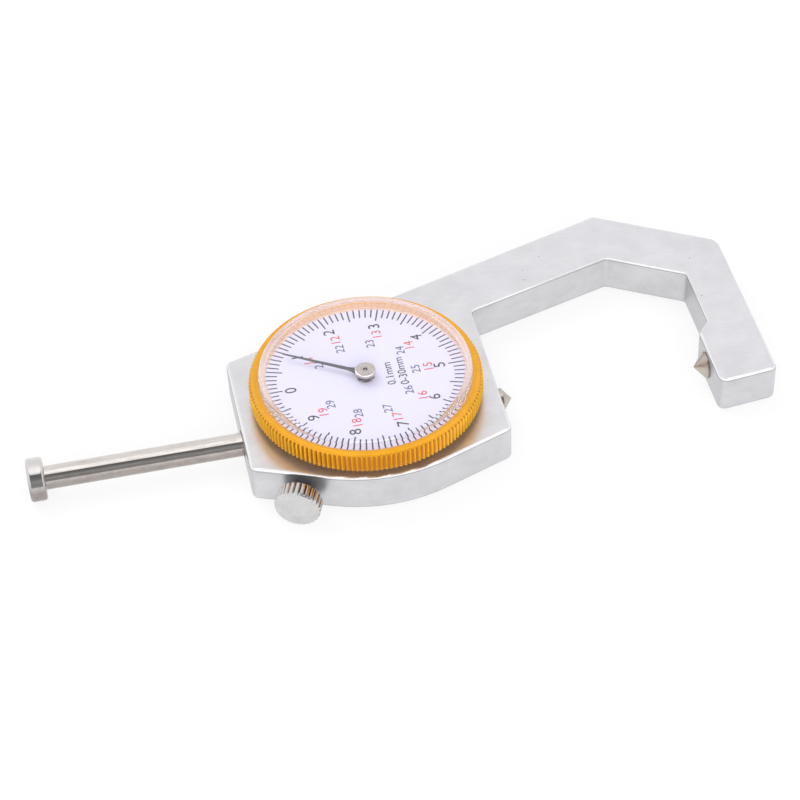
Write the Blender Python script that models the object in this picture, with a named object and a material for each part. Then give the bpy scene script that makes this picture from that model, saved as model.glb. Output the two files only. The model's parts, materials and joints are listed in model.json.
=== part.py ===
# Dial thickness gauge: a C-shaped frame, a spring-loaded spindle with a rack,
# a pinion movement under a round dial, and a thumb screw that locks the spindle.
# The gauge lies on its back. +X runs along the spindle towards the anvil,
# +Y towards the arm, +Z out of the dial. The origin is on the dial's axis,
# in the plane of the frame's back. All sizes are in metres.

import math

import bmesh
import bpy
from mathutils import Matrix, Vector

# Gear train, which sets how wide the body, its collar and the dial are
gear_module = 0.00025
centre_gear_teeth = 18
take_up_gear_teeth = 45
gear_thickness = 0.0006
gear_hub_gap = 0.00005
pressure_angle = math.radians(20.0)
tooth_backlash_share = 0.16
addendum_share = 0.9
dedendum_share = 1.2
gear_wall_gap = 0.001275

# Clearances
fit_gap = 0.0001
seat_gap = 0.00005
running_gap = 0.00005

# Rack and spindle
rack_pitch = 0.000625
pinion_teeth = 16
pinion_length = 0.0018
rack_line_offset = 0.00151
rack_run_out = 0.0024
spindle_radius = 0.00192
spindle_end_stud_radius = 0.00125
spindle_end_stud_length = 0.0019
guide_flat_depth = 0.00042
button_stop_gap = 0.00095

# Body, seen from the dial side
body_thickness = 0.0066
seat_ledge = 0.0006
collar_wall = 0.0015
body_left_margin = 0.0046
body_right_margin = 0.0045
body_back_margin = 0.0023
front_left_set_back = 0.0042
front_right_set_back = 0.0034
front_left_slope = math.radians(-22.0)
front_right_slope = math.radians(20.3)
front_bow_radius = 0.0259
body_corner_radius = 0.0013
edge_radius = 0.00045

# Arm and jaw, seen from the dial side
throat_width = 0.03733
arm_end_width = 0.00776
arm_elbow_depth = 0.01149
arm_elbow_lean = 0.0007
elbow_inset = 0.01205
arm_outer_slope = math.radians(17.63)
arm_inner_slope = math.radians(16.5)
arm_bent_slope = math.radians(-30.5)
arm_shoulder_radius = 0.0026
arm_elbow_radius = 0.0014
arm_inner_radius = 0.0009
jaw_step = 0.00215
jaw_step_start = 0.0070
jaw_step_end = 0.0044
jaw_step_radius = 0.0010
jaw_drop = 0.0078
jaw_end_slope = math.radians(6.0)

# Contact points
tip_stand = 0.0022
tip_shoulder_gap = 0.00005
tip_cylinder_length = 0.0008
tip_cone_length = 0.00147
tip_flat_radius = 0.00012
tip_stud_radius = 0.0010
tip_stud_length = 0.0029
anvil_radius = 0.00225
anvil_rim_length = 0.00025
anvil_cone_length = 0.0018
anvil_shank_radius = 0.0012
anvil_shank_length = 0.0038

# Pull button
button_radius = 0.00353
button_thickness = 0.00269
button_edge_radius = 0.00055
button_gap = 0.00005

# Guide bushes
bush_wall = 0.00028
bush_bore_gap = 0.00005
bush_recess = 0.0002

# Back cover and the lugs that its screws and the plate's screws share
cover_overlap = 0.0007
cover_thickness = 0.0007
lug_radius = 0.0020
lug_inset = 0.0010
lug_angles = [math.radians(40.0), math.radians(140.0), math.radians(275.0)]

# Bezel, its retaining ring, dial and crystal
bezel_float = 0.0012
ring_groove_rise = 0.0005
ring_groove_height = 0.00045
ring_groove_depth = 0.00035
collar_lip = 0.00055
bezel_bore_gap = 0.00012
bezel_step = 0.0008
bezel_wall = 0.00108
bezel_rim_width = 0.0003
bezel_round = 0.0003
bezel_lip = 0.00012
grip_stand = 0.00047
grip_height = 0.00325
grip_gap = 0.00055
knurl_count = 150
knurl_depth = 0.0004
dial_rise = 0.00015
dial_thickness = 0.0005
dial_hole_radius = 0.0010
crystal_skirt_wall = 0.0014
crystal_height = 0.0028
crystal_rise = 0.00015
crystal_ring_share = 0.5
crystal_thickness = 0.0009
crystal_round = 0.00045
crystal_inner_round = 0.0013

# Movement plate and arbor
movement_plate_rise = 0.00028
movement_plate_thickness = 0.0008
arbor_radius = 0.0005
pivot_radius = 0.00025
gear_rise = 0.0004
staff_radius = 0.0006
staff_collet_radius = 0.00085

# Lower bridge on its two pillars
bridge_rise = 0.00025
bridge_thickness = 0.0008
bridge_boss_radius = 0.0011
bridge_ear_radius = 0.0013
pillar_x = 0.0060
pillar_y = 0.0040
pillar_radius = 0.0011
pillar_stud_radius = 0.0006
pillar_tap_depth = 0.0018

# Spiral spring and the cock over it
spring_rise = 0.0003
spring_height = 0.00045
spring_thickness = 0.00012
spring_turns = 5
spring_reach = 0.0035
spring_stud_radius = 0.00035
cock_rise = 0.00025
cock_thickness = 0.0007
cock_leg_gap = 0.00045
cock_half_width = 0.0011
cock_boss_radius = 0.0016
cock_leg_radius = 0.0011
cock_counterbore_depth = 0.0005

# Guide shoe
shoe_inset = 0.0030
shoe_length = 0.0030
shoe_width = 0.0022
shoe_stud_radius = 0.0005

# Screws
small_screw_radius = 0.0004
small_head_radius = 0.00085
large_screw_radius = 0.0005
large_head_radius = 0.0011
small_head_height = 0.0004
large_head_height = 0.0006
screw_slot_width = 0.0003
screw_slot_depth = 0.00022
cover_head_radius = 0.0012
cover_head_height = 0.0004
cover_screw_length = 0.0022
plate_screw_length = 0.0027
bridge_screw_length = 0.0024

# Pointer
hub_rise = 0.0002
collet_radius = 0.00142
collet_height = 0.0007
hub_neck_radius = 0.0010
hub_neck_height = 0.0003
hub_cap_radius = 0.00171
hub_cap_height = 0.0006
hub_cap_bevel = 0.0003
hub_dimple_radius = 0.00036
hub_dimple_depth = 0.00018
hub_slot_width = 0.0003
hub_slot_height = 0.0004
needle_thickness = 0.0002
needle_inset = 0.0031
needle_eye_radius = 0.0016
needle_tip_half_width = 0.00012
needle_root_half_width = 0.00042
needle_flare_length = 0.0033
division_turn = 0.010

# Thumb screw and its pad
lock_foot_inset = 0.00762
lock_head_radius = 0.00369
lock_head_length = 0.0026
lock_head_stand = 0.0018
lock_flute_count = 26
lock_flute_depth = 0.00028
lock_ridge_shares = (-0.22, 0.22)
lock_valley_shares = (0.36, 0.64)
lock_head_bevel = 0.00022
lock_neck_radius = 0.0019
lock_screw_radius = 0.00125
lock_pad_radius = 0.0012
lock_pad_room = 0.00504
lock_boss_half_width = 0.0028
lock_boss_stop = 0.0032

# How far each cutter runs past the face that it opens, and how close points are welded
overrun = 0.0005
weld_distance = 0.0000002

# Facets round a full circle, and how far an outline's chord may lie off its arc
fine_steps = 48
seen_steps = 32
round_steps = 24
small_steps = 12
outline_sag = 0.00002

# Plan sizes that follow from the sizes above
rack_module = rack_pitch / math.pi
pinion_pitch_radius = pinion_teeth * rack_module / 2
spindle_y = -(pinion_pitch_radius + rack_line_offset)
gear_distance = gear_module * (centre_gear_teeth + take_up_gear_teeth) / 2
take_up_tip_radius = gear_module * (take_up_gear_teeth / 2 + addendum_share)
movement_seat_radius = gear_distance + take_up_tip_radius + gear_wall_gap
movement_plate_radius = movement_seat_radius - fit_gap
cavity_radius = movement_seat_radius - seat_ledge
cover_recess_radius = movement_seat_radius + cover_overlap
lug_circle_radius = cavity_radius - lug_inset
collar_radius = movement_seat_radius + collar_wall
crystal_seat_radius = collar_radius + bezel_step
crystal_skirt_radius = crystal_seat_radius - crystal_skirt_wall
bezel_rim_radius = crystal_seat_radius + bezel_rim_width
bezel_shoulder_radius = crystal_seat_radius + bezel_wall
bezel_radius = bezel_shoulder_radius + grip_stand
cock_half_span = take_up_tip_radius + cock_leg_radius + cock_leg_gap
needle_length = crystal_seat_radius - needle_inset
body_left = collar_radius + body_left_margin
body_right = collar_radius + body_right_margin
body_front_left_y = front_left_set_back - collar_radius
body_front_right_y = front_right_set_back - collar_radius
arm_inner_x = body_right + throat_width
arm_outer_x = arm_inner_x + arm_end_width
arm_inner_elbow_x = arm_inner_x - elbow_inset
arm_elbow_x = arm_inner_elbow_x + arm_elbow_lean
arm_back_distance = collar_radius + body_back_margin
arm_elbow_y = (arm_back_distance + arm_elbow_x * math.sin(arm_outer_slope)) / math.cos(arm_outer_slope)
arm_inner_elbow_y = arm_elbow_y - arm_elbow_depth
jaw_face_x = arm_inner_x - jaw_step
jaw_step_high_y = spindle_y + jaw_step_start
jaw_step_low_y = spindle_y + jaw_step_end
jaw_end_y = spindle_y - jaw_drop
jaw_tip_x = jaw_face_x - seat_gap - anvil_rim_length - anvil_cone_length
contact_tip_x = body_right + tip_stand
spindle_travel = jaw_tip_x - contact_tip_x
tip_root_x = contact_tip_x - tip_cone_length - tip_cylinder_length
spindle_right_end = tip_root_x - tip_shoulder_gap
spindle_left_end = -body_left - spindle_travel - button_stop_gap
reading_angle = math.pi - 2 * math.pi * spindle_travel / division_turn
bush_radius = spindle_radius + bush_wall
shoe_x = movement_seat_radius - shoe_inset
lock_foot_x = lock_foot_inset - body_left

# Heights that follow from the sizes above
body_top = body_thickness
spindle_height = body_thickness / 2
cover_recess_depth = cover_thickness + seat_gap
movement_seat_height = spindle_height + spindle_radius + movement_plate_rise
movement_plate_low = movement_seat_height + seat_gap
movement_plate_high = movement_plate_low + movement_plate_thickness
bridge_low = cover_recess_depth + bridge_rise
pinion_low = spindle_height - pinion_length / 2
pinion_high = spindle_height + pinion_length / 2
gear_low = movement_plate_high + gear_rise
spring_low = gear_low + gear_thickness + spring_rise
cock_low = spring_low + spring_height + cock_rise
bezel_bottom = body_top + bezel_float
knurl_top = bezel_bottom + grip_height
bezel_top = knurl_top + grip_gap
ring_groove_low = bezel_bottom + ring_groove_rise
ring_groove_high = ring_groove_low + ring_groove_height
collar_top = ring_groove_high + collar_lip
dial_seat_height = collar_top + dial_rise
dial_top = dial_seat_height + seat_gap + dial_thickness
crystal_top = dial_top + crystal_height
hub_bottom = dial_top + hub_rise
spring_inner_radius = staff_collet_radius + running_gap + spring_thickness
spring_outer_radius = staff_collet_radius + spring_reach


def clear_scene():
    for item in list(bpy.data.objects):
        bpy.data.objects.remove(item, do_unlink=True)


def make_material(name, colour, metallic, roughness, alpha=1.0):
    material = bpy.data.materials.new(name)
    material.use_nodes = True
    shader = material.node_tree.nodes["Principled BSDF"]
    shader.inputs["Base Color"].default_value = (*colour, 1.0)
    shader.inputs["Metallic"].default_value = metallic
    shader.inputs["Roughness"].default_value = roughness
    shader.inputs["Alpha"].default_value = alpha
    return material


def finish(name, shape, material, location=(0, 0, 0), smooth=40.0):
    """Turn a bmesh into a named object whose faces point out."""
    bmesh.ops.recalc_face_normals(shape, faces=shape.faces)
    mesh = bpy.data.meshes.new(name)
    shape.to_mesh(mesh)
    shape.free()
    mesh.materials.append(material)
    mesh.shade_smooth()
    mesh.set_sharp_from_angle(angle=math.radians(smooth))
    item = bpy.data.objects.new(name, mesh)
    item.location = location
    bpy.context.scene.collection.objects.link(item)
    return item


def repeat(source, name, location):
    """A second object that shares the first one's mesh."""
    item = bpy.data.objects.new(name, source.data)
    item.location = location
    item.rotation_euler = source.rotation_euler
    bpy.context.scene.collection.objects.link(item)
    return item


def combine(target, tool, operation="DIFFERENCE"):
    """Cut the tool out of the target, or join it on, and remove the tool."""
    bpy.context.view_layer.update()
    change = target.modifiers.new("combine", "BOOLEAN")
    change.operation = operation
    change.solver = "EXACT"
    change.object = tool
    with bpy.context.temp_override(object=target, active_object=target, selected_objects=[target]):
        bpy.ops.object.modifier_apply(modifier=change.name)
    bpy.data.objects.remove(tool, do_unlink=True)
    weld(target.data)


def weld(mesh):
    """Close the hair-thin edges that a cut leaves where corners nearly meet."""
    shape = bmesh.new()
    shape.from_mesh(mesh)
    bmesh.ops.dissolve_degenerate(shape, dist=weld_distance, edges=shape.edges)
    shape.to_mesh(mesh)
    shape.free()


def circle(radius, steps, centre=(0, 0), start=0.0):
    points = []
    for index in range(steps):
        angle = start + 2 * math.pi * index / steps
        points.append((centre[0] + radius * math.cos(angle), centre[1] + radius * math.sin(angle)))
    return points


def stack(layers):
    """Solid from rings with the same number of points, each an (outline, height) pair."""
    shape = bmesh.new()
    rings = [[shape.verts.new((x, y, height)) for x, y in outline] for outline, height in layers]
    count = len(rings[0])
    shape.faces.new(list(reversed(rings[0])))
    shape.faces.new(rings[-1])
    for low, high in zip(rings, rings[1:]):
        for index in range(count):
            after = (index + 1) % count
            shape.faces.new((low[index], low[after], high[after], high[index]))
    return shape


def prism(outline, low, high):
    return stack([(outline, low), (outline, high)])


def box_across(width, length, low, high):
    """Box centred on the local origin, width along X and length along Y."""
    x, y = width / 2, length / 2
    return prism([(-x, -y), (x, -y), (x, y), (-x, y)], low, high)


def turned(profile, steps, closed=False):
    """Spin a profile of (radius, height) points round Z. A closed profile makes a ring."""
    shape = bmesh.new()
    rings = []
    for radius, height in profile:
        if radius == 0:
            rings.append([shape.verts.new((0, 0, height))])
        else:
            rings.append([shape.verts.new((x, y, height)) for x, y in circle(radius, steps)])
    pairs = list(zip(rings, rings[1:]))
    if closed:
        pairs.append((rings[-1], rings[0]))
    for first, second in pairs:
        for index in range(steps):
            after = (index + 1) % steps
            corners = [first[index % len(first)], first[after % len(first)],
                       second[after % len(second)], second[index % len(second)]]
            unique = list(dict.fromkeys(corners))
            if len(unique) > 2:
                shape.faces.new(unique)
    if not closed:
        for ring in (rings[0], rings[-1]):
            if len(ring) > 1:
                shape.faces.new(ring)
    return shape


def rod_profile(*pieces):
    """Profile of a stepped solid rod from (radius, low, high) pieces in order."""
    profile = []
    for radius, low, high in pieces:
        profile.append((radius, low))
        profile.append((radius, high))
    return profile


def arc_profile(centre, radius, start, end, steps):
    points = []
    for index in range(steps + 1):
        angle = start + (end - start) * index / steps
        points.append((centre[0] + radius * math.cos(angle), centre[1] + radius * math.sin(angle)))
    return points


def along_x(item):
    """Turn a piece built round Z so that its +Z runs along +X."""
    item.rotation_euler = (0, math.pi / 2, 0)
    return item


def cylinder_tool(radius, low, high, steps, location=(0, 0, 0)):
    return finish("tool", prism(circle(radius, steps), low, high), tool_material, location)


def bored(item, radius, low, high, steps, centre):
    """Drill a round hole along Z."""
    combine(item, cylinder_tool(radius, low - overrun, high + overrun, steps, (*centre, 0)))


def meet(first, first_slope, second, second_slope):
    """Where two lines in the plan cross, each given by a point and a slope angle."""
    ax, ay = math.cos(first_slope), math.sin(first_slope)
    bx, by = math.cos(second_slope), math.sin(second_slope)
    gap_x, gap_y = second[0] - first[0], second[1] - first[1]
    reach = (gap_x * by - gap_y * bx) / (ax * by - ay * bx)
    return first[0] + reach * ax, first[1] + reach * ay


def frame_corners():
    """Corners of the frame's plan, counter-clockwise, each (x, y, radius)."""
    upright = math.pi / 2
    left_front = (-body_left, body_front_left_y)
    right_front = (body_right, body_front_right_y)
    elbow = (arm_elbow_x, arm_elbow_y)
    inner_elbow = (arm_inner_elbow_x, arm_inner_elbow_y)
    bow = meet(left_front, front_left_slope, right_front, front_right_slope)
    throat = meet(inner_elbow, arm_inner_slope, right_front, upright)
    crook = meet(inner_elbow, arm_bent_slope, (arm_inner_x, 0), upright)
    jaw_end = meet((jaw_face_x, jaw_end_y), jaw_end_slope, (arm_outer_x, 0), upright)
    shoulder = meet(elbow, arm_bent_slope, (arm_outer_x, 0), upright)
    back_left = meet(elbow, arm_outer_slope, left_front, upright)
    return [
        (*left_front, body_corner_radius),
        (*bow, front_bow_radius),
        (*right_front, body_corner_radius),
        (*throat, arm_inner_radius),
        (*inner_elbow, arm_inner_radius),
        (*crook, arm_inner_radius),
        (arm_inner_x, jaw_step_high_y, jaw_step_radius),
        (jaw_face_x, jaw_step_low_y, jaw_step_radius),
        (jaw_face_x, jaw_end_y, body_corner_radius),
        (*jaw_end, body_corner_radius),
        (*shoulder, arm_shoulder_radius),
        (*elbow, arm_elbow_radius),
        (*back_left, body_corner_radius),
    ]


def rounded_outline(corners, inset):
    """Outline with true arcs at its corners, drawn in from the plan by the inset."""
    points = []
    count = len(corners)
    for index in range(count):
        before = Vector(corners[index - 1][:2])
        here = Vector(corners[index][:2])
        after = Vector(corners[(index + 1) % count][:2])
        radius = corners[index][2]
        into = (here - before).normalized()
        out = (after - here).normalized()
        turn = math.atan2(into.x * out.y - into.y * out.x, into.dot(out))
        side = math.copysign(1, turn)
        reach = radius * math.tan(abs(turn) / 2)
        start = here - into * reach
        normal = Vector((-into.y, into.x)) * side
        centre = start + normal * radius
        drawn = radius - side * inset
        steps = math.ceil(abs(turn) / (2 * math.acos(1 - outline_sag / radius)))
        first = math.atan2(-normal.y, -normal.x)
        for step in range(steps + 1):
            angle = first + turn * step / steps
            points.append((centre.x + drawn * math.cos(angle), centre.y + drawn * math.sin(angle)))
    return points


def rounded_plate(corners, low, high, radius, steps):
    """Plate with quarter-round edges at both faces."""
    layers = []
    for index in range(steps + 1):
        angle = math.pi / 2 * index / steps
        layers.append((radius * (1 - math.sin(angle)), low + radius * (1 - math.cos(angle))))
    for inset, height in list(reversed(layers)):
        layers.append((inset, high - (height - low)))
    return stack([(rounded_outline(corners, inset), height) for inset, height in layers])


def lock_axis():
    """Foot of the thumb screw on the slanted front face, and its outward direction."""
    foot_y = body_front_left_y + (lock_foot_x + body_left) * math.tan(front_left_slope)
    turn = front_left_slope - math.pi / 2
    return Vector((lock_foot_x, foot_y, spindle_height)), Vector((math.cos(turn), math.sin(turn), 0))


def lock_reach():
    """Distance along the thumb screw's axis from the face to the spindle's axis."""
    foot, outward = lock_axis()
    return (foot.y - spindle_y) / outward.y


def place_on_lock_axis(item):
    foot, outward = lock_axis()
    item.rotation_euler = outward.to_track_quat("Z", "Y").to_euler()
    item.location = foot
    return item


def lug_places():
    radius = lug_circle_radius
    return [(radius * math.cos(angle), radius * math.sin(angle)) for angle in lug_angles]


def cavity_tool():
    """Space for the movement, less the screw lugs and the boss of the thumb screw."""
    low = cover_recess_depth - overrun
    space = cylinder_tool(cavity_radius, low, movement_seat_height + overrun, fine_steps)
    for centre in lug_places():
        high = movement_seat_height + 2 * overrun
        lug = cylinder_tool(lug_radius, -overrun, high, small_steps, (*centre, 0))
        combine(space, lug)
    foot, outward = lock_axis()
    length = lock_reach() - lock_boss_stop
    middle = foot - outward * length / 2
    boss = finish("tool", box_across(lock_boss_half_width * 2, length, -overrun, body_top),
                  tool_material, (middle.x, middle.y, 0))
    boss.rotation_euler = (0, 0, math.atan2(outward.y, outward.x) - math.pi / 2)
    combine(space, boss)
    return space


def make_frame():
    frame = finish("frame", rounded_plate(frame_corners(), 0, body_top, edge_radius, 2), frame_material)
    groove = collar_radius - ring_groove_depth
    collar = turned([(collar_radius, body_top - 2 * edge_radius), (collar_radius, ring_groove_low),
                     (groove, ring_groove_low), (groove, ring_groove_high),
                     (collar_radius, ring_groove_high), (collar_radius, collar_top)], fine_steps)
    combine(frame, finish("tool", collar, tool_material), "UNION")
    seat = cylinder_tool(movement_seat_radius, movement_seat_height, collar_top + overrun, fine_steps)
    combine(frame, seat)
    combine(frame, cavity_tool())
    combine(frame, cylinder_tool(cover_recess_radius, -overrun, cover_recess_depth, fine_steps))
    bore = cylinder_tool(bush_radius + fit_gap, -(body_left + overrun), body_right + overrun, round_steps,
                         (0, spindle_y, spindle_height))
    combine(frame, along_x(bore))
    tapped = cylinder_tool(lock_screw_radius + fit_gap, -lock_reach(), overrun, round_steps)
    combine(frame, place_on_lock_axis(tapped))
    for centre in lug_places():
        tap = cylinder_tool(large_screw_radius + fit_gap, cover_recess_depth - overrun,
                            movement_seat_height + overrun, small_steps, (*centre, 0))
        combine(frame, tap)
    depth = anvil_shank_length + fit_gap
    anvil_bore = cylinder_tool(anvil_shank_radius + fit_gap, -overrun, depth, round_steps,
                               (jaw_face_x, spindle_y, spindle_height))
    combine(frame, along_x(anvil_bore))
    return frame


def make_spindle():
    left = spindle_left_end
    stud_end = left - spindle_end_stud_length
    right = spindle_right_end
    socket = tip_stud_radius + fit_gap
    profile = rod_profile((spindle_end_stud_radius, stud_end, left), (spindle_radius, left, right))
    profile += [(socket, right), (socket, right - tip_stud_length - fit_gap)]
    shape = turned(profile, round_steps)
    rod = along_x(finish("spindle", shape, steel_material, (0, spindle_y, spindle_height)))
    combine(rod, rack_tool())
    flat_left = shoe_x - shoe_length / 2 - spindle_travel - 2 * fit_gap
    flat_right = shoe_x + shoe_length / 2 + 2 * fit_gap
    flat_low = spindle_height + spindle_radius - guide_flat_depth
    flat = box_across(flat_right - flat_left, 4 * spindle_radius, flat_low, flat_low + spindle_radius)
    combine(rod, finish("tool", flat, tool_material, ((flat_left + flat_right) / 2, spindle_y, 0)))
    return rod


def rack_tool():
    """Comb that leaves the rack's teeth on the spindle's back side, in mesh at rest."""
    pitch_line = -pinion_pitch_radius
    tip_line = pitch_line + addendum_share * rack_module
    root_line = pitch_line - dedendum_share * rack_module
    lean = math.tan(pressure_angle)
    half_tooth = rack_pitch * (1 - tooth_backlash_share) / 4
    half_tip = half_tooth - (tip_line - pitch_line) * lean
    half_root = half_tooth + (pitch_line - root_line) * lean
    left = -spindle_travel - rack_run_out
    right = rack_run_out
    first = math.ceil(left / rack_pitch - 0.5)
    last = math.floor(right / rack_pitch - 0.5)
    back = spindle_y + 2 * spindle_radius
    outline = [(left, back), (left, root_line)]
    for index in range(first, last + 1):
        middle = (index + 0.5) * rack_pitch
        if middle - half_root <= left or middle + half_root >= right:
            continue
        outline += [(middle - half_root, root_line), (middle - half_tip, tip_line),
                    (middle + half_tip, tip_line), (middle + half_root, root_line)]
    outline += [(right, root_line), (right, back)]
    low = spindle_height - 2 * spindle_radius
    high = spindle_height + 2 * spindle_radius
    return finish("tool", prism(outline, low, high), tool_material)


def involute(angle):
    return math.tan(angle) - angle


def gear_outline(teeth, module, phase, flank_steps):
    """Involute tooth outline; one tooth is centred on the phase angle."""
    pitch_radius = teeth * module / 2
    base_radius = pitch_radius * math.cos(pressure_angle)
    tip_radius = pitch_radius + addendum_share * module
    root_radius = pitch_radius - dedendum_share * module
    start_radius = max(base_radius, root_radius)
    half_tooth = math.pi * (1 - tooth_backlash_share) / (2 * teeth)
    flank = []
    for index in range(flank_steps + 1):
        radius = start_radius + (tip_radius - start_radius) * index / flank_steps
        turn = half_tooth + involute(pressure_angle) - involute(math.acos(base_radius / radius))
        flank.append((radius, turn))
    points = []
    for tooth in range(teeth):
        middle = phase + 2 * math.pi * tooth / teeth
        side = [(root_radius, flank[0][1])] + flank if root_radius < base_radius else flank
        for radius, turn in side:
            points.append((radius * math.cos(middle - turn), radius * math.sin(middle - turn)))
        for radius, turn in reversed(side):
            points.append((radius * math.cos(middle + turn), radius * math.sin(middle + turn)))
    return points


def make_arbor():
    """Centre arbor with its pinion cut on it, a tooth space facing the spindle's tooth."""
    bottom = bridge_low + seat_gap
    shoulder = bridge_low + bridge_thickness + seat_gap
    top = hub_bottom + collet_height + hub_neck_height
    profile = rod_profile((pivot_radius, bottom, shoulder), (arbor_radius, shoulder, top))
    arbor = finish("centre_arbor", turned(profile, small_steps), steel_material)
    phase = -math.pi / 2
    pinion = prism(gear_outline(pinion_teeth, rack_module, phase, 2), pinion_low, pinion_high)
    combine(arbor, finish("tool", pinion, tool_material), "UNION")
    return arbor


def make_gear(name, teeth, phase, flank_steps, hole_radius, centre):
    outline = gear_outline(teeth, gear_module, phase, flank_steps)
    gear = finish(name, prism(outline, gear_low, gear_low + gear_thickness), brass_material, (*centre, 0))
    bored(gear, hole_radius, gear_low, gear_low + gear_thickness, small_steps, centre)
    return gear


def make_gears():
    """The centre gear drives the take-up gear, which the spiral spring pulls back."""
    make_gear("centre_gear", centre_gear_teeth, math.pi / 2, 2, arbor_radius + gear_hub_gap, (0, 0))
    phase = -math.pi / 2 + math.pi / take_up_gear_teeth
    make_gear("take_up_gear", take_up_gear_teeth, phase, 1, staff_radius + gear_hub_gap, (0, gear_distance))


def make_staff():
    shoulder = movement_plate_high + running_gap
    cock_under = cock_low - running_gap
    collet_low = spring_low - running_gap
    collet_high = spring_low + spring_height + running_gap
    profile = rod_profile((pivot_radius, movement_plate_low, shoulder), (staff_radius, shoulder, collet_low),
                          (staff_collet_radius, collet_low, collet_high),
                          (staff_radius, collet_high, cock_under),
                          (pivot_radius, cock_under, cock_low + cock_thickness - seat_gap))
    finish("take_up_staff", turned(profile, small_steps), steel_material, (0, gear_distance, 0))


def make_spring():
    """Flat spiral strip from the staff's collet out to the stud under the cock."""
    outer = []
    inner = []
    steps = spring_turns * small_steps
    for index in range(steps + 1):
        angle = 2 * math.pi * index / small_steps
        middle = spring_inner_radius + (spring_outer_radius - spring_inner_radius) * index / steps
        for side, points in ((spring_thickness / 2, outer), (-spring_thickness / 2, inner)):
            points.append(((middle + side) * math.cos(angle), (middle + side) * math.sin(angle)))
    shape = prism(outer + list(reversed(inner)), spring_low, spring_low + spring_height)
    finish("spiral_spring", shape, spring_material, (0, gear_distance, 0))
    stud_x = spring_outer_radius + spring_thickness / 2 + running_gap + spring_stud_radius
    profile = rod_profile((spring_stud_radius, spring_low, cock_low + cock_thickness - seat_gap))
    finish("spring_stud", turned(profile, small_steps), brass_material, (stud_x, gear_distance, 0))
    return stud_x


def make_cock(stud_x):
    """Upper bridge on two legs that carries the take-up staff and the spring's stud."""
    high = cock_low + cock_thickness
    bar = box_across(cock_half_span * 2, cock_half_width * 2, cock_low, high)
    cock = finish("gear_cock", bar, brass_material, (0, gear_distance, 0))
    boss = cylinder_tool(cock_boss_radius, cock_low, high, round_steps, (0, gear_distance, 0))
    combine(cock, boss, "UNION")
    for side in (-1, 1):
        x = side * cock_half_span
        leg = cylinder_tool(cock_leg_radius, movement_plate_high + seat_gap, high, small_steps,
                            (x, gear_distance, 0))
        combine(cock, leg, "UNION")
    for side in (-1, 1):
        centre = (side * cock_half_span, gear_distance)
        bored(cock, small_screw_radius + fit_gap, movement_plate_high, high, small_steps, centre)
        head_seat = high - cock_counterbore_depth
        counterbore = cylinder_tool(small_head_radius + fit_gap, head_seat, high + overrun, small_steps,
                                    (*centre, 0))
        combine(cock, counterbore)
    bored(cock, pivot_radius + running_gap, cock_low, high, small_steps, (0, gear_distance))
    bored(cock, spring_stud_radius + seat_gap, cock_low, high, small_steps, (stud_x, gear_distance))


def make_movement_plate():
    plate = finish("movement_plate", prism(circle(movement_plate_radius, fine_steps), movement_plate_low,
                                           movement_plate_high), brass_material)
    holes = [(arbor_radius + running_gap, (0, 0)), (pivot_radius + running_gap, (0, gear_distance)),
             (shoe_stud_radius + seat_gap, (shoe_x, spindle_y))]
    for side in (-1, 1):
        holes.append((small_screw_radius + fit_gap, (side * pillar_x, pillar_y)))
        holes.append((small_screw_radius + fit_gap, (side * cock_half_span, gear_distance)))
    for centre in lug_places():
        holes.append((large_screw_radius + fit_gap, centre))
    for radius, centre in holes:
        bored(plate, radius, movement_plate_low, movement_plate_high, small_steps, centre)


def make_bridge():
    """Lower bridge: a three-cornered plate that carries the arbor's foot."""
    shape = bmesh.new()
    for height in (bridge_low, bridge_low + bridge_thickness):
        for x, y in circle(bridge_boss_radius, small_steps):
            shape.verts.new((x, y, height))
        for side in (-1, 1):
            for x, y in circle(bridge_ear_radius, small_steps, (side * pillar_x, pillar_y)):
                shape.verts.new((x, y, height))
    hull = bmesh.ops.convex_hull(shape, input=shape.verts)
    spare = hull["geom_interior"] + hull["geom_unused"]
    inner = {item for item in spare if isinstance(item, bmesh.types.BMVert)}
    bmesh.ops.delete(shape, geom=list(inner), context="VERTS")
    bmesh.ops.dissolve_limit(shape, angle_limit=math.radians(0.5), verts=shape.verts, edges=shape.edges)
    bridge = finish("lower_bridge", shape, brass_material)
    high = bridge_low + bridge_thickness
    bored(bridge, pivot_radius + running_gap, bridge_low, high, small_steps, (0, 0))
    for side in (-1, 1):
        centre = (side * pillar_x, pillar_y)
        bored(bridge, pillar_stud_radius + seat_gap, bridge_low, high, small_steps, centre)


def make_pillars():
    foot = bridge_low + seat_gap
    shoulder = bridge_low + bridge_thickness + seat_gap
    top = movement_plate_low - seat_gap
    tap = small_screw_radius + fit_gap
    shape = turned([(pillar_stud_radius, foot), (pillar_stud_radius, shoulder), (pillar_radius, shoulder),
                    (pillar_radius, top), (tap, top), (tap, top - pillar_tap_depth)], small_steps)
    left = finish("bridge_pillar_left", shape, brass_material, (-pillar_x, pillar_y, 0))
    repeat(left, "bridge_pillar_right", (pillar_x, pillar_y, 0))


def make_screw(name, head_radius, head_height, radius, length, place, upside_down=False):
    """Slotted screw whose head rests at the local origin, shank down."""
    shape = turned(rod_profile((radius, -length, 0), (head_radius, 0, head_height)), small_steps)
    screw = finish(name, shape, screw_material)
    slot_floor = head_height - screw_slot_depth
    slot = box_across(head_radius * 4, screw_slot_width, slot_floor, head_height + overrun)
    combine(screw, finish("tool", slot, tool_material))
    if upside_down:
        screw.rotation_euler = (math.pi, 0, 0)
    screw.location = place
    return screw


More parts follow.
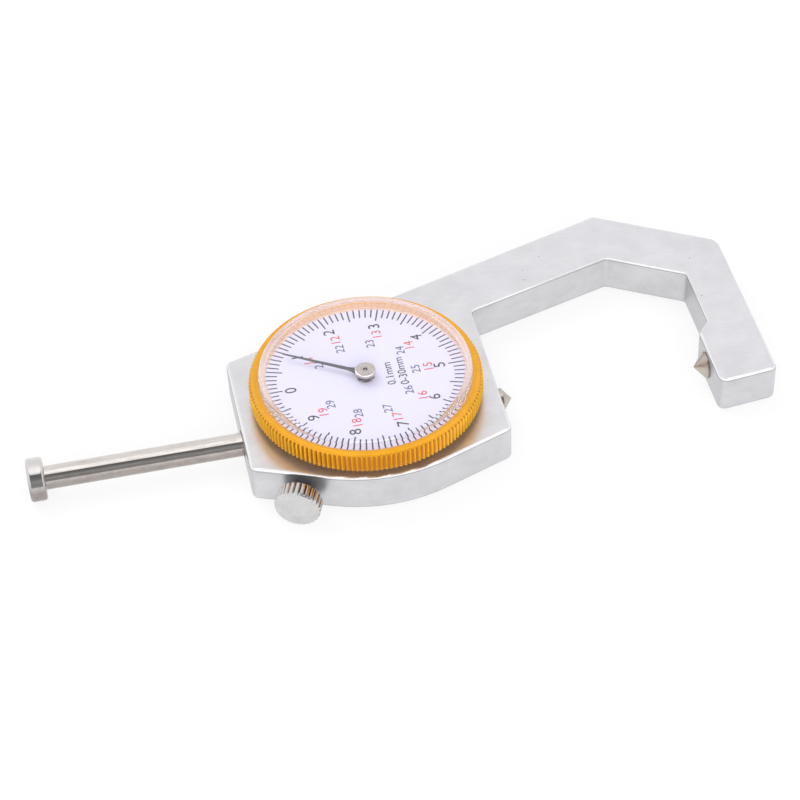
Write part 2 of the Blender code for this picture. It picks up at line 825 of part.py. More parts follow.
def make_screws():
    seat = movement_plate_high + seat_gap
    bridge = make_screw("bridge_screw_left", small_head_radius, small_head_height, small_screw_radius,
                        bridge_screw_length, (-pillar_x, pillar_y, seat))
    repeat(bridge, "bridge_screw_right", (pillar_x, pillar_y, seat))
    cock_seat = cock_low + cock_thickness - cock_counterbore_depth + seat_gap
    cock = make_screw("cock_screw_left", small_head_radius, small_head_height, small_screw_radius,
                      cock_seat - movement_plate_low - seat_gap, (-cock_half_span, gear_distance, cock_seat))
    repeat(cock, "cock_screw_right", (cock_half_span, gear_distance, cock_seat))
    places = lug_places()
    plate = make_screw("plate_screw_1", large_head_radius, large_head_height, large_screw_radius,
                       plate_screw_length, (*places[0], seat))
    for index in (1, 2):
        repeat(plate, f"plate_screw_{index + 1}", (*places[index], seat))
    cover_seat = cover_head_height + seat_gap
    cover = make_screw("cover_screw_1", cover_head_radius, cover_head_height, large_screw_radius,
                       cover_screw_length, (*places[0], cover_seat), upside_down=True)
    for index in (1, 2):
        repeat(cover, f"cover_screw_{index + 1}", (*places[index], cover_seat))


def make_cover():
    cover = finish("back_cover", prism(circle(cover_recess_radius - fit_gap, fine_steps), 0, cover_thickness),
                   frame_material)
    for centre in lug_places():
        bored(cover, large_screw_radius + fit_gap, 0, cover_thickness, small_steps, centre)
        depth = cover_head_height + 2 * seat_gap
        sink = cylinder_tool(cover_head_radius + fit_gap, -overrun, depth, small_steps, (*centre, 0))
        combine(cover, sink)


def make_shoe():
    """Brass shoe under the movement plate that rides on the spindle's flat and stops it turning."""
    low = spindle_height + spindle_radius - guide_flat_depth + running_gap
    high = movement_plate_low - seat_gap
    shoe = finish("guide_shoe", box_across(shoe_length, shoe_width, low, high), brass_material,
                  (shoe_x, spindle_y, 0))
    stud = cylinder_tool(shoe_stud_radius, (low + high) / 2, movement_plate_high - seat_gap, small_steps,
                         (shoe_x, spindle_y, 0))
    combine(shoe, stud, "UNION")


def make_bushes():
    bore = spindle_radius + bush_bore_gap
    spans = {"rear_bush": (bush_recess - body_left, -movement_seat_radius),
             "front_bush": (movement_seat_radius, body_right - bush_recess)}
    for name, (start, end) in spans.items():
        length = end - start
        shape = turned([(bush_radius, 0), (bush_radius, length), (bore, length), (bore, 0)],
                       round_steps, closed=True)
        along_x(finish(name, shape, brass_material, (start, spindle_y, spindle_height)))


def make_tips():
    stud_start = -tip_stud_length
    tip = turned([(tip_stud_radius, stud_start), (tip_stud_radius, 0), (spindle_radius, 0),
                  (spindle_radius, tip_cylinder_length),
                  (tip_flat_radius, tip_cylinder_length + tip_cone_length)], round_steps)
    along_x(finish("contact_tip", tip, tip_material, (tip_root_x, spindle_y, spindle_height)))
    rim_end = anvil_cone_length + anvil_rim_length
    anvil = turned([(tip_flat_radius, 0), (anvil_radius, anvil_cone_length), (anvil_radius, rim_end),
                    (anvil_shank_radius, rim_end),
                    (anvil_shank_radius, rim_end + anvil_shank_length - seat_gap)], round_steps)
    along_x(finish("anvil_tip", anvil, tip_material, (jaw_tip_x, spindle_y, spindle_height)))


def make_button():
    """Round pull button on the spindle's left end."""
    hole = spindle_end_stud_radius + fit_gap
    inner = spindle_left_end - button_gap
    outer = inner - button_thickness
    edge = button_edge_radius
    quarter = math.pi / 2
    profile = [(0, 0)]
    profile += arc_profile((button_radius - edge, edge), edge, -quarter, 0, 3)
    profile += arc_profile((button_radius - edge, button_thickness - edge), edge, 0, quarter, 3)
    profile += [(hole, button_thickness), (hole, button_thickness - spindle_end_stud_length - fit_gap),
                (0, button_thickness - spindle_end_stud_length - fit_gap)]
    along_x(finish("pull_button", turned(profile, seen_steps), button_material,
                   (outer, spindle_y, spindle_height)))


def knurl_outline():
    """Outer edge of the bezel's grip: shallow straight flutes with narrow ridges."""
    points = []
    for index in range(2 * knurl_count):
        angle = math.pi * index / knurl_count
        radius = bezel_radius - knurl_depth * (index % 2)
        points.append((radius * math.cos(angle), radius * math.sin(angle)))
    return points


def make_bezel():
    bore = collar_radius + bezel_bore_gap
    groove = collar_radius + ring_groove_depth + fit_gap
    rounding = bezel_round
    quarter = math.pi / 2
    profile = [(bezel_shoulder_radius, bezel_bottom)]
    profile += arc_profile((bezel_shoulder_radius - rounding, bezel_top - rounding), rounding, 0, quarter, 3)
    profile += [(bezel_rim_radius, bezel_top), (crystal_seat_radius, bezel_top - rounding),
                (crystal_seat_radius, dial_seat_height), (bore, dial_seat_height), (bore, ring_groove_high),
                (groove, ring_groove_high), (groove, ring_groove_low), (bore, ring_groove_low),
                (bore, bezel_bottom)]
    bezel = finish("bezel", turned(profile, fine_steps, closed=True), bezel_material)
    grip = finish("tool", prism(knurl_outline(), bezel_bottom + bezel_lip, knurl_top), tool_material)
    bored(grip, bezel_shoulder_radius - 2 * knurl_depth, bezel_bottom, knurl_top, fine_steps, (0, 0))
    combine(bezel, grip, "UNION")


def make_retaining_ring():
    """Open spring ring in the collar's groove that keeps the bezel on."""
    inner = collar_radius - ring_groove_depth + fit_gap
    outer = collar_radius + ring_groove_depth
    half_gap = math.radians(6.0)
    first = []
    second = []
    for index in range(fine_steps + 1):
        angle = half_gap + (2 * math.pi - 2 * half_gap) * index / fine_steps
        first.append((outer * math.cos(angle), outer * math.sin(angle)))
        second.append((inner * math.cos(angle), inner * math.sin(angle)))
    shape = prism(first + list(reversed(second)), ring_groove_low + seat_gap, ring_groove_high - seat_gap)
    finish("bezel_retaining_ring", shape, spring_material)


def make_dial():
    low = dial_seat_height + seat_gap
    edge = crystal_seat_radius - fit_gap
    shape = turned([(dial_hole_radius, low), (edge, low), (edge, dial_top), (dial_hole_radius, dial_top)],
                   fine_steps, closed=True)
    finish("dial_plate", shape, dial_material)


def make_crystal():
    """Clear cup: a slightly domed top with a thick skirt that stands on the dial."""
    outer = crystal_seat_radius - fit_gap
    foot = dial_top + seat_gap
    quarter = math.pi / 2
    profile = [(crystal_skirt_radius, foot), (outer, foot)]
    profile += arc_profile((outer - crystal_round, crystal_top - crystal_round), crystal_round, 0, quarter, 3)
    ring_radius = outer * crystal_ring_share
    ring_height = crystal_top + crystal_rise * (1 - crystal_ring_share ** 2)
    peak = crystal_top + crystal_rise
    profile += [(ring_radius, ring_height), (0, peak), (0, peak - crystal_thickness),
                (ring_radius, ring_height - crystal_thickness)]
    rounding = crystal_inner_round
    inner_centre = (crystal_skirt_radius - rounding, crystal_top - crystal_thickness - rounding)
    profile += arc_profile(inner_centre, rounding, quarter, 0, 3)
    finish("crystal", turned(profile, fine_steps, closed=True), crystal_material)


def make_pointer():
    collet_top = hub_bottom + collet_height
    neck_top = collet_top + hub_neck_height
    cap_top = neck_top + hub_cap_height
    hole = arbor_radius + seat_gap
    shape = turned([(hole, neck_top + seat_gap), (hole, hub_bottom), (collet_radius, hub_bottom),
                    (collet_radius, collet_top), (hub_neck_radius, collet_top), (hub_neck_radius, neck_top),
                    (hub_cap_radius, neck_top), (hub_cap_radius, cap_top - hub_cap_bevel),
                    (hub_cap_radius - hub_cap_bevel, cap_top), (hub_dimple_radius, cap_top),
                    (0, cap_top - hub_dimple_depth)], round_steps)
    hub = finish("pointer_hub", shape, button_material)
    for turn in (math.pi / 4, 3 * math.pi / 4):
        slot_top = hub_bottom + hub_slot_height
        slot = box_across(collet_radius * 4, hub_slot_width, hub_bottom - overrun, slot_top)
        tool = finish("tool", slot, tool_material)
        tool.rotation_euler = (0, 0, turn)
        combine(hub, tool)
    low = collet_top + (hub_neck_height - needle_thickness) / 2
    eye = needle_eye_radius
    flare = math.asin(needle_root_half_width * 2 / eye)
    outline = []
    for index in range(round_steps + 1):
        angle = flare + (2 * math.pi - 2 * flare) * index / round_steps
        outline.append((eye * math.cos(angle), eye * math.sin(angle)))
    outline += [(needle_flare_length, -needle_root_half_width), (needle_length, -needle_tip_half_width),
                (needle_length + needle_tip_half_width, 0), (needle_length, needle_tip_half_width),
                (needle_flare_length, needle_root_half_width)]
    needle = finish("pointer_needle", prism(outline, low, low + needle_thickness), needle_material)
    bored(needle, hub_neck_radius + seat_gap, low, low + needle_thickness, round_steps, (0, 0))
    needle.rotation_euler = (0, 0, reading_angle)


def make_lock_screw():
    """Thumb screw: a fluted head on a plain shank, square to the slanted front face."""
    start = lock_head_stand
    end = lock_head_stand + lock_head_length
    bevel = lock_head_bevel
    valley_radius = lock_head_radius - lock_flute_depth
    outline = []
    inner_outline = []
    for index in range(lock_flute_count):
        for share in lock_ridge_shares + lock_valley_shares:
            angle = 2 * math.pi * (index + share) / lock_flute_count
            radius = lock_head_radius if share in lock_ridge_shares else valley_radius
            inner = valley_radius - bevel
            outline.append((radius * math.cos(angle), radius * math.sin(angle)))
            inner_outline.append((inner * math.cos(angle), inner * math.sin(angle)))
    layers = [(inner_outline, start), (outline, start + bevel), (outline, end - bevel), (inner_outline, end)]
    screw = finish("lock_screw", stack(layers), button_material)
    profile = rod_profile((lock_screw_radius, lock_pad_room - lock_reach(), lock_head_stand / 2),
                          (lock_neck_radius, lock_head_stand / 2, start + bevel))
    combine(screw, finish("tool", turned(profile, round_steps), tool_material), "UNION")
    place_on_lock_axis(screw)


def make_lock_pad():
    """Brass pad between the screw's end and the spindle, hollowed to the spindle's radius."""
    reach = lock_reach()
    profile = rod_profile((lock_pad_radius, -reach, lock_pad_room - reach - seat_gap))
    pad = place_on_lock_axis(finish("lock_pad", turned(profile, round_steps), brass_material))
    saddle = cylinder_tool(spindle_radius + bush_bore_gap, -body_left, 0, seen_steps,
                           (0, spindle_y, spindle_height))
    combine(pad, along_x(saddle))


clear_scene()
tool_material = make_material("tool", (0.5, 0.5, 0.5), 0.0, 0.5)
frame_material = make_material("frame_metal", (0.74, 0.74, 0.76), 0.9, 0.32)
steel_material = make_material("spindle_steel", (0.72, 0.72, 0.73), 1.0, 0.18)
tip_material = make_material("tip_steel", (0.60, 0.58, 0.55), 1.0, 0.30)
button_material = make_material("bright_nickel", (0.78, 0.77, 0.76), 1.0, 0.16)
bezel_material = make_material("gold_anodised", (0.85, 0.50, 0.10), 0.9, 0.25)
brass_material = make_material("movement_brass", (0.72, 0.55, 0.25), 1.0, 0.30)
spring_material = make_material("spring_steel", (0.42, 0.44, 0.50), 1.0, 0.25)
screw_material = make_material("screw_steel", (0.55, 0.55, 0.57), 1.0, 0.30)
dial_material = make_material("dial_white", (0.90, 0.89, 0.97), 0.0, 0.45)
needle_material = make_material("needle_grey", (0.12, 0.12, 0.13), 0.2, 0.45)
crystal_material = make_material("clear_acrylic", (0.95, 0.95, 0.97), 0.0, 0.05, 0.25)

make_frame()
make_cover()
make_bushes()
make_spindle()
make_tips()
make_button()
make_lock_screw()
make_lock_pad()
make_movement_plate()
make_bridge()
make_pillars()
make_arbor()
make_gears()
make_staff()
make_cock(make_spring())
make_screws()
make_shoe()
make_retaining_ring()
make_bezel()
make_dial()
make_pointer()
make_crystal()

for leftover in list(bpy.data.materials):
    if leftover.name == "tool":
        bpy.data.materials.remove(leftover)

triangles = 0
for item in bpy.data.objects:
    item.data.calc_loop_triangles()
    triangles += len(item.data.loop_triangles)
    print(item.name, len(item.data.loop_triangles))
print("pieces", len(bpy.data.objects), "triangles", triangles)
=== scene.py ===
import json
import math

import bmesh
import bpy
from mathutils import Matrix, Vector


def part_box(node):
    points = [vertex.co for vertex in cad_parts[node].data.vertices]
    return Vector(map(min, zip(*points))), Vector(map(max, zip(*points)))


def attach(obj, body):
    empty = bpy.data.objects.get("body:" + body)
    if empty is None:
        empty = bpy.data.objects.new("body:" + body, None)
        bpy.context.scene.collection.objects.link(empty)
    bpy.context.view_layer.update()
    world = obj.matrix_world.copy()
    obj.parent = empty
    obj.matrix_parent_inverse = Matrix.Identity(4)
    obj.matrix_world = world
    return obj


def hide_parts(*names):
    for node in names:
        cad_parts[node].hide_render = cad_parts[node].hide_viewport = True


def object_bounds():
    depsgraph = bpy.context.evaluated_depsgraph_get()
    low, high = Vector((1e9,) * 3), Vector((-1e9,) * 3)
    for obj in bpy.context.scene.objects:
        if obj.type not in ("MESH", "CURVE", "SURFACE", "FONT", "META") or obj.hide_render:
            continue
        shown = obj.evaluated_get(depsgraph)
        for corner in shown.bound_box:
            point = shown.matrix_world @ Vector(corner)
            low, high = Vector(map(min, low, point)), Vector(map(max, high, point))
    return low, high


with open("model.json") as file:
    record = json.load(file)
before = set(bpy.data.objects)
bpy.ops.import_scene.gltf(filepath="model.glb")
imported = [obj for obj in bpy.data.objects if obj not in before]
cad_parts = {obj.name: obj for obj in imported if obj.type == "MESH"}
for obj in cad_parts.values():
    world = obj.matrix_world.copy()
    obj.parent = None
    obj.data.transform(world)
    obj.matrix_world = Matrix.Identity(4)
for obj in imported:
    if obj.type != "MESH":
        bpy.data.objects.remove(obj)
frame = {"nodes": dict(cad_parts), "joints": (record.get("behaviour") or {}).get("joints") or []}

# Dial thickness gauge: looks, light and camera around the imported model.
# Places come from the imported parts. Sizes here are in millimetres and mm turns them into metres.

mm = 0.001
fullTurn = 2 * math.pi
slip = 0.02 * mm       # gap between pieces that fit into each other
hair = 0.002 * mm      # keeps two points of a profile apart
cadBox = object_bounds()
print("frame loaded:", len(frame["nodes"]), "parts")


# Shader maths and materials

class Wire:
    # one socket, so that shader maths reads as plain expressions
    def __init__(self, paint, socket):
        self.paint = paint
        self.socket = socket

    def maths(self, operation, *others):
        values = dict(enumerate((self,) + others))
        return self.paint.add("ShaderNodeMath", {"operation": operation}, values)

    def __add__(self, other):
        return self.maths("ADD", other)

    def __sub__(self, other):
        return self.maths("SUBTRACT", other)

    def __mul__(self, other):
        return self.maths("MULTIPLY", other)

    def __rsub__(self, other):
        return self.paint.add("ShaderNodeMath", {"operation": "SUBTRACT"}, {0: other, 1: self})

    __radd__ = __add__
    __rmul__ = __mul__

    def above(self, low, high):
        # 0 under low, 1 over high, smooth between
        return self.paint.add("ShaderNodeMapRange", {"interpolation_type": "SMOOTHSTEP"},
                              {"Value": self, "From Min": low, "From Max": high})

    def clamped(self):
        return self.paint.add("ShaderNodeClamp", {}, {"Value": self})


class Paint:
    # the nodes of one material or of the world, with one method that adds any node
    def __init__(self, owner):
        owner.use_nodes = True
        self.owner = owner
        self.tree = owner.node_tree
        self.tree.nodes.clear()

    def add(self, kind, settings, sockets, output=0):
        # settings first, then the values or links of the sockets
        node = self.tree.nodes.new(kind)
        for key, value in settings.items():
            setattr(node, key, value)
        for key, value in sockets.items():
            socket = node.inputs[key]
            if isinstance(value, Wire):
                self.tree.links.new(value.socket, socket)
            elif isinstance(value, tuple) and len(value) == 3 and socket.type == "RGBA":
                socket.default_value = (*value, 1.0)
            else:
                socket.default_value = value
        return Wire(self, node.outputs[output]) if node.outputs else node

    def places(self, stretch=(1, 1, 1)):
        # the piece's own coordinates in millimetres, stretched for grain that runs one way
        own = self.add("ShaderNodeTexCoord", {}, {}, "Object")
        scale = tuple(share / mm for share in stretch)
        return self.add("ShaderNodeVectorMath", {"operation": "MULTIPLY"}, {0: own, 1: scale})

    def split(self, vector):
        return [self.add("ShaderNodeSeparateXYZ", {}, {"Vector": vector}, axis) for axis in "XYZ"]

    def facing(self):
        # which way the surface faces, in the piece's own axes
        return self.split(self.add("ShaderNodeTexCoord", {}, {}, "Normal"))

    def fromCentre(self, places):
        # distance from the dial's axis
        x, y, z = self.split(places)
        return (x * x + y * y).maths("SQRT")

    def noise(self, places, perMm, detail=3.0, rough=0.55):
        return self.add("ShaderNodeTexNoise", {}, {"Vector": places, "Scale": perMm, "Detail": detail,
                                                   "Roughness": rough})

    def specks(self, places, perMm, size):
        # 1 inside small scattered dots, 0 elsewhere
        near = self.add("ShaderNodeTexVoronoi", {}, {"Vector": places, "Scale": perMm}, "Distance")
        return 1 - near.above(size * 0.6, size)

    def blend(self, share, first, second):
        return self.add("ShaderNodeMix", {"data_type": "RGBA"}, {0: share, 6: first, 7: second}, 2)

    def ray(self, kind):
        return self.add("ShaderNodeLightPath", {}, {}, kind)

    def finish(self, colour, rough, relief, strength, depth, metal=1.0, specular=0.5):
        # a plain surface, with a bump this deep in millimetres
        bump = self.add("ShaderNodeBump", {}, {"Strength": strength, "Distance": depth * mm,
                                               "Height": relief})
        shader = self.add("ShaderNodeBsdfPrincipled", {}, {
            "Base Color": colour, "Metallic": metal, "Roughness": rough,
            "Specular IOR Level": specular, "Normal": bump})
        return self.shown(shader)

    def shown(self, shader):
        self.add("ShaderNodeOutputMaterial", {}, {"Surface": shader})
        return self.owner


def newPaint(name):
    return Paint(bpy.data.materials.new(name))


castMetal = {
    "colour": (0.82, 0.812, 0.845),
    "shade": (0.60, 0.595, 0.62),      # in the clouds
    "speck": (0.22, 0.215, 0.21),      # in the pits
    "edge": (1.0, 1.0, 1.0),           # painted highlight on the rounded edges
    "edgeShade": (0.36, 0.355, 0.365),     # painted shade just under them and on faces that look down
    "leftFaceShade": (0.52, 0.525, 0.56),       # painted shade on faces that look left
    "side": (0.52, 0.515, 0.53),       # painted shade on the walls, in mottled patches
    "paintedSheen": (1.0, 0.50, 0.12),       # painted reflection of the gold bezel on the plate round it
    "cloudsPerMm": 0.16,
    "grainPerMm": 5.0,
    "linesPerMm": 1.6,
    "pitsPerMm": 0.42,
    "marksPerMm": 0.95,
    "mottlePerMm": 0.55,
    "sheenReach": (-0.2, 1.9),        # from the bezel's rim outwards
    "plateDepth": (2.5, 2.0),          # how far down from the collar's top the shine fades
    "polish": 0.20,
    "metal": 0.88,
    "roughness": 0.31,
    "bump": 0.10,
}


def makeCastMetal():
    # satin plating over a casting: faint clouds, fine grain, a few pits and rub marks
    paint = newPaint("castMetal")
    look = castMetal
    places = paint.places()
    clouds = paint.noise(places, look["cloudsPerMm"], 4.0, 0.6)
    grain = paint.noise(places, look["grainPerMm"], 4.0, 0.7)
    lines = paint.noise(paint.places((0.25, 3.0, 3.0)), look["linesPerMm"], 3.0, 0.6)
    marks = paint.specks(paint.places((0.6, 1.0, 1.6)), look["marksPerMm"], 0.05)
    pits = paint.specks(places, look["pitsPerMm"], 0.055) + marks * 0.7
    pits = pits * paint.noise(places, 0.11, 1.0).above(0.48, 0.60)
    tone = (clouds - 0.5) * 1.1 + (grain - 0.5) * 0.6 + (lines - 0.5) * 0.5
    colour = paint.blend((tone + 0.22).clamped(), look["colour"], look["shade"])
    colour = paint.blend(pits, colour, look["speck"])
    # painted reflection of the gold bezel on the plate round it
    height = paint.split(places)[2]
    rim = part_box("bezel")[1].x / mm
    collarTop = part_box("frame")[1].z / mm
    near, far = look["sheenReach"]
    deep, shallow = look["plateDepth"]
    paintedSheen = 1 - paint.fromCentre(places).above(rim + near, rim + far)
    paintedSheen = paintedSheen * height.above(collarTop - deep, collarTop - shallow)
    colour = paint.blend(paintedSheen * 0.9, colour, look["paintedSheen"])
    # painted shade on faces that look left and on the walls, a painted highlight on the rounded edges,
    # and painted shade just under them and on faces that look down
    facing = paint.facing()
    side, up = facing[0], facing[2]
    # painted shade on faces that look left
    leftFaceShade = 1 - side.above(-0.95, -0.45)
    colour = paint.blend(leftFaceShade * 0.55, colour, look["leftFaceShade"])
    # painted shade on the walls and on faces that look down, in mottled patches
    mottle = paint.noise(paint.places((0.6, 0.6, 1.0)), look["mottlePerMm"], 4.0, 0.6)
    wallShade = (1 - up.above(0.1, 0.5)) * (mottle.above(0.35, 0.75) * 0.24 + 0.36)
    colour = paint.blend(wallShade, colour, look["side"])
    # painted shade just under the rounded edges and on faces that look down
    edgeShade = up.above(0.02, 0.08) * (1 - up.above(0.16, 0.30)) + (1 - up.above(-0.30, -0.08))
    colour = paint.blend(edgeShade.clamped() * 0.8, colour, look["edgeShade"])
    # painted highlight: the rounded edges are painted bright
    edge = up.above(0.16, 0.30) * (1 - up.above(0.90, 0.985))
    colour = paint.blend(edge * 0.9, colour, look["edge"])
    rough = (clouds - 0.5) * 0.10 + (grain - 0.5) * 0.08 - edge * look["polish"] + look["roughness"]
    relief = grain * 0.5 + lines * 0.5 - pits * 3.0
    return paint.finish(colour, rough, relief, look["bump"], 0.04, look["metal"])


rodSteel = {
    "colour": (0.78, 0.735, 0.705),
    "streak": (0.44, 0.40, 0.375),
    "undersideShade": (0.34, 0.295, 0.275),      # painted shade underneath
    "dirtAndFluteShade": (0.30, 0.27, 0.24),
    "streaksPerMm": 2.2,
    "cloudsPerMm": 0.7,
    "roughness": 0.055,
}


def makeRodSteel():
    # ground rod: fine streaks along it and a little dirt
    paint = newPaint("rodSteel")
    look = rodSteel
    places = paint.places()
    streaks = paint.noise(paint.places((0.10, 2.6, 2.6)), look["streaksPerMm"], 4.0, 0.6)
    dirtAndFluteShade = paint.specks(places, 0.7, 0.05)
    cloud = paint.noise(places, look["cloudsPerMm"], 3.0, 0.6)
    share = (streaks - 0.50) * 2.6 + (cloud - 0.5) * 0.7 + 0.12
    colour = paint.blend(share.clamped(), look["colour"], look["streak"])
    colour = paint.blend(dirtAndFluteShade * 0.5, colour, look["dirtAndFluteShade"])
    # painted shade on the underside, in patches
    under = 1 - paint.facing()[2].above(0.05, 0.72)
    undersideShade = under * (cloud * 0.5 + 0.55)
    colour = paint.blend(undersideShade.clamped(), colour, look["undersideShade"])
    rough = streaks * 0.06 + (cloud - 0.5) * 0.05 + look["roughness"]
    return paint.finish(colour, rough, streaks, 0.08, 0.02)


coneSteel = {
    "colour": (0.59, 0.535, 0.475),
    "dark": (0.35, 0.305, 0.265),
    "marksPerMm": 1.5,
    "cloudsPerMm": 0.9,
    "roughness": 0.26,
}


def makeConeSteel():
    # hardened and turned: brownish grey with fine turning marks round X
    paint = newPaint("coneSteel")
    look = coneSteel
    marks = paint.noise(paint.places((9.0, 0.5, 0.5)), look["marksPerMm"], 2.0)
    cloud = paint.noise(paint.places(), look["cloudsPerMm"], 3.0, 0.6)
    share = (cloud - 0.45) * 1.1 + (marks - 0.5) * 0.5
    colour = paint.blend(share.clamped(), look["colour"], look["dark"])
    rough = (marks - 0.5) * 0.12 + look["roughness"]
    return paint.finish(colour, rough, marks, 0.12, 0.02)


brightNickel = {
    "colour": (0.74, 0.72, 0.71),
    "haze": (0.50, 0.475, 0.46),
    "undersideShade": (0.30, 0.26, 0.25),        # painted shade underneath, as on the rod
    "hazePerMm": 0.55,
    "finePerMm": 7.0,
    "roughness": 0.09,
}


def makeBrightNickel():
    # bright plating with a light haze and handling marks
    paint = newPaint("brightNickel")
    look = brightNickel
    places = paint.places()
    haze = paint.noise(places, look["hazePerMm"], 4.0, 0.6)
    fine = paint.noise(places, look["finePerMm"], 3.0, 0.6)
    colour = paint.blend(((haze - 0.5) * 1.4).clamped(), look["colour"], look["haze"])
    # painted shade on the underside, in patches
    under = 1 - paint.facing()[2].above(0.0, 0.65)
    undersideShade = under * (haze * 0.5 + 0.6)
    colour = paint.blend(undersideShade.clamped(), colour, look["undersideShade"])
    rough = haze.above(0.45, 0.7) * 0.10 + (fine - 0.5) * 0.05 + look["roughness"]
    return paint.finish(colour, rough, fine, 0.04, 0.015)


satinNickel = {
    "hub": {"colour": (0.60, 0.555, 0.515), "mark": (0.32, 0.28, 0.25), "roughness": 0.14},
    "thumb": {"colour": (0.74, 0.735, 0.735), "mark": (0.42, 0.41, 0.41), "roughness": 0.18},
    "rim": (0.95, 0.92, 0.88),         # painted highlight on the hub cap's rounded rim
    # painted shade in the cap's dimple
    "dimple": (0.05, 0.042, 0.038),
    "colletShade": (0.055, 0.045, 0.04),       # painted shade round the hub's collet, under the cap
    "dirtAndFluteShade": (0.10, 0.085, 0.075),      # painted shade in the thumb screw's flutes
    "ringsPerMm": 14.0,
    "cloudsPerMm": 0.6,
}


def makeSatinNickel(name, look, centre, axis, shadeTop=None, fluteRoot=None, faceAt=None):
    # faced in a lathe: fine rings round the piece's own axis
    paint = newPaint(name)
    places = paint.places()
    middle = tuple(value / mm for value in centre)
    off = paint.add("ShaderNodeVectorMath", {"operation": "SUBTRACT"}, {0: places, 1: middle})
    dot = {"operation": "DOT_PRODUCT"}
    along = paint.add("ShaderNodeVectorMath", dot, {0: off, 1: tuple(axis)}, "Value")
    size = paint.add("ShaderNodeVectorMath", dot, {0: off, 1: off}, "Value")
    radius = (size - along * along).maths("MAXIMUM", 0.0).maths("SQRT")
    ringPlaces = {"X": radius * satinNickel["ringsPerMm"], "Y": along * 2.0}
    spread = paint.add("ShaderNodeCombineXYZ", {}, ringPlaces)
    rings = paint.noise(spread, 1.0, 2.0)
    cloud = paint.noise(places, satinNickel["cloudsPerMm"], 4.0, 0.6)
    share = (rings - 0.5) * 0.7 + (cloud - 0.5) * 0.9 + 0.18
    colour = paint.blend(share.clamped(), look["colour"], look["mark"])
    if shadeTop:
        # a painted highlight on the rim, painted shade in the dimple, and painted shade below
        # shadeTop, in patches
        up = paint.facing()[2]
        # painted highlight on the cap's rounded rim
        paintedSheen = up.above(0.15, 0.4) * (1 - up.above(0.8, 0.95)) * radius.above(0.9, 1.1)
        colour = paint.blend(paintedSheen, colour, satinNickel["rim"])
        # painted shade in the dimple
        ring = radius.above(0.10, 0.20) * (1 - radius.above(0.36, 0.42))
        colour = paint.blend(ring * 0.92, colour, satinNickel["dimple"])
        # painted shade below shadeTop, round the collet under the cap, in patches
        underCapShade = 1 - paint.split(places)[2].above(shadeTop - 0.1, shadeTop + 0.05)
        patchy = cloud.above(0.40, 0.58) * 0.65 + 0.35
        colour = paint.blend(underCapShade * patchy, colour, satinNickel["colletShade"])
    if fluteRoot:
        # painted shade in the flutes, none on the face
        groove = 1 - radius.above(fluteRoot, fluteRoot + 0.2)
        groove = groove * (1 - along.above(faceAt - 0.15, faceAt - 0.02))
        colour = paint.blend(groove * 0.85, colour, satinNickel["dirtAndFluteShade"])
    rough = (cloud - 0.5) * 0.12 + look["roughness"]
    return paint.finish(colour, rough, rings, 0.16, 0.02)


goldAnodised = {
    "colour": (0.84, 0.395, 0.016),
    "deep": (0.60, 0.24, 0.006),       # where the dye took more
    "ridgeHighlight": (1.0, 0.61, 0.055),        # painted highlight on the ridges
    "hollow": (0.36, 0.135, 0.003),    # painted shade between them
    "gripDepth": 0.47,                 # from the ridges in to the smooth ring
    "gripTop": 3.2,                    # above the bezel's foot
    "cloudsPerMm": 0.5,
    "finePerMm": 9.0,
    "metal": 0.42,
    "roughness": 0.17,
}


def makeGoldAnodised():
    # dyed anodising on turned aluminium, with a painted highlight on the ridges and painted shade in
    # the hollows between them
    paint = newPaint("goldAnodised")
    look = goldAnodised
    places = paint.places()
    cloud = paint.noise(places, look["cloudsPerMm"], 3.0, 0.6)
    fine = paint.noise(places, look["finePerMm"], 3.0, 0.65)
    low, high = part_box("bezel")
    depth = high.x / mm - paint.fromCentre(places)
    gripTop = low.z / mm + look["gripTop"]
    grip = 1 - paint.split(places)[2].above(gripTop - 0.25, gripTop)
    wall = look["gripDepth"]
    hollow = depth.above(wall * 0.45, wall * 0.85) * (1 - depth.above(wall * 1.1, wall * 1.3)) * grip
    ridge = (1 - depth.above(wall * 0.15, wall * 0.50)) * grip
    share = (cloud - 0.5) * 0.8 + (fine - 0.5) * 0.25 + 0.15
    colour = paint.blend(share.clamped(), look["colour"], look["deep"])
    # painted shade in the hollows between the ridges
    colour = paint.blend(hollow * 0.9, colour, look["hollow"])
    # painted highlight on the ridges
    colour = paint.blend(ridge * 0.7, colour, look["ridgeHighlight"])
    rough = (fine - 0.5) * 0.10 + look["roughness"]
    return paint.finish(colour, rough, fine, 0.08, 0.02, look["metal"])


dialPaint = {
    "colour": (0.80, 0.785, 0.935),
    "cloud": (0.785, 0.765, 0.92),
    "mote": (0.25, 0.22, 0.25),
    "peelPerMm": 3.0,
    "roughness": 0.42,
}


def makeDialPaint():
    # smooth pale lavender lacquer with a trace of orange peel and a few motes
    paint = newPaint("dialPaint")
    look = dialPaint
    places = paint.places()
    cloud = paint.noise(places, 0.2, 2.0)
    peel = paint.noise(places, look["peelPerMm"], 2.0)
    motes = paint.specks(places, 0.16, 0.007)
    colour = paint.blend(cloud, look["colour"], look["cloud"])
    colour = paint.blend(motes * 0.7, colour, look["mote"])
    rough = (peel - 0.5) * 0.06 + look["roughness"]
    return paint.finish(colour, rough, peel, 0.05, 0.02, metal=0.0, specular=0.35)


inkColours = {
    # thin is the colour where the dial shows through a little
    "tickInk": {"full": (0.022, 0.022, 0.032), "thin": (0.055, 0.055, 0.075)},
    "blackInk": {"full": (0.015, 0.015, 0.022), "thin": (0.045, 0.045, 0.06)},
    "redInk": {"full": (0.72, 0.075, 0.085), "thin": (0.80, 0.16, 0.17)},
    "blueInk": {"full": (0.085, 0.095, 0.19), "thin": (0.15, 0.17, 0.29)},
}


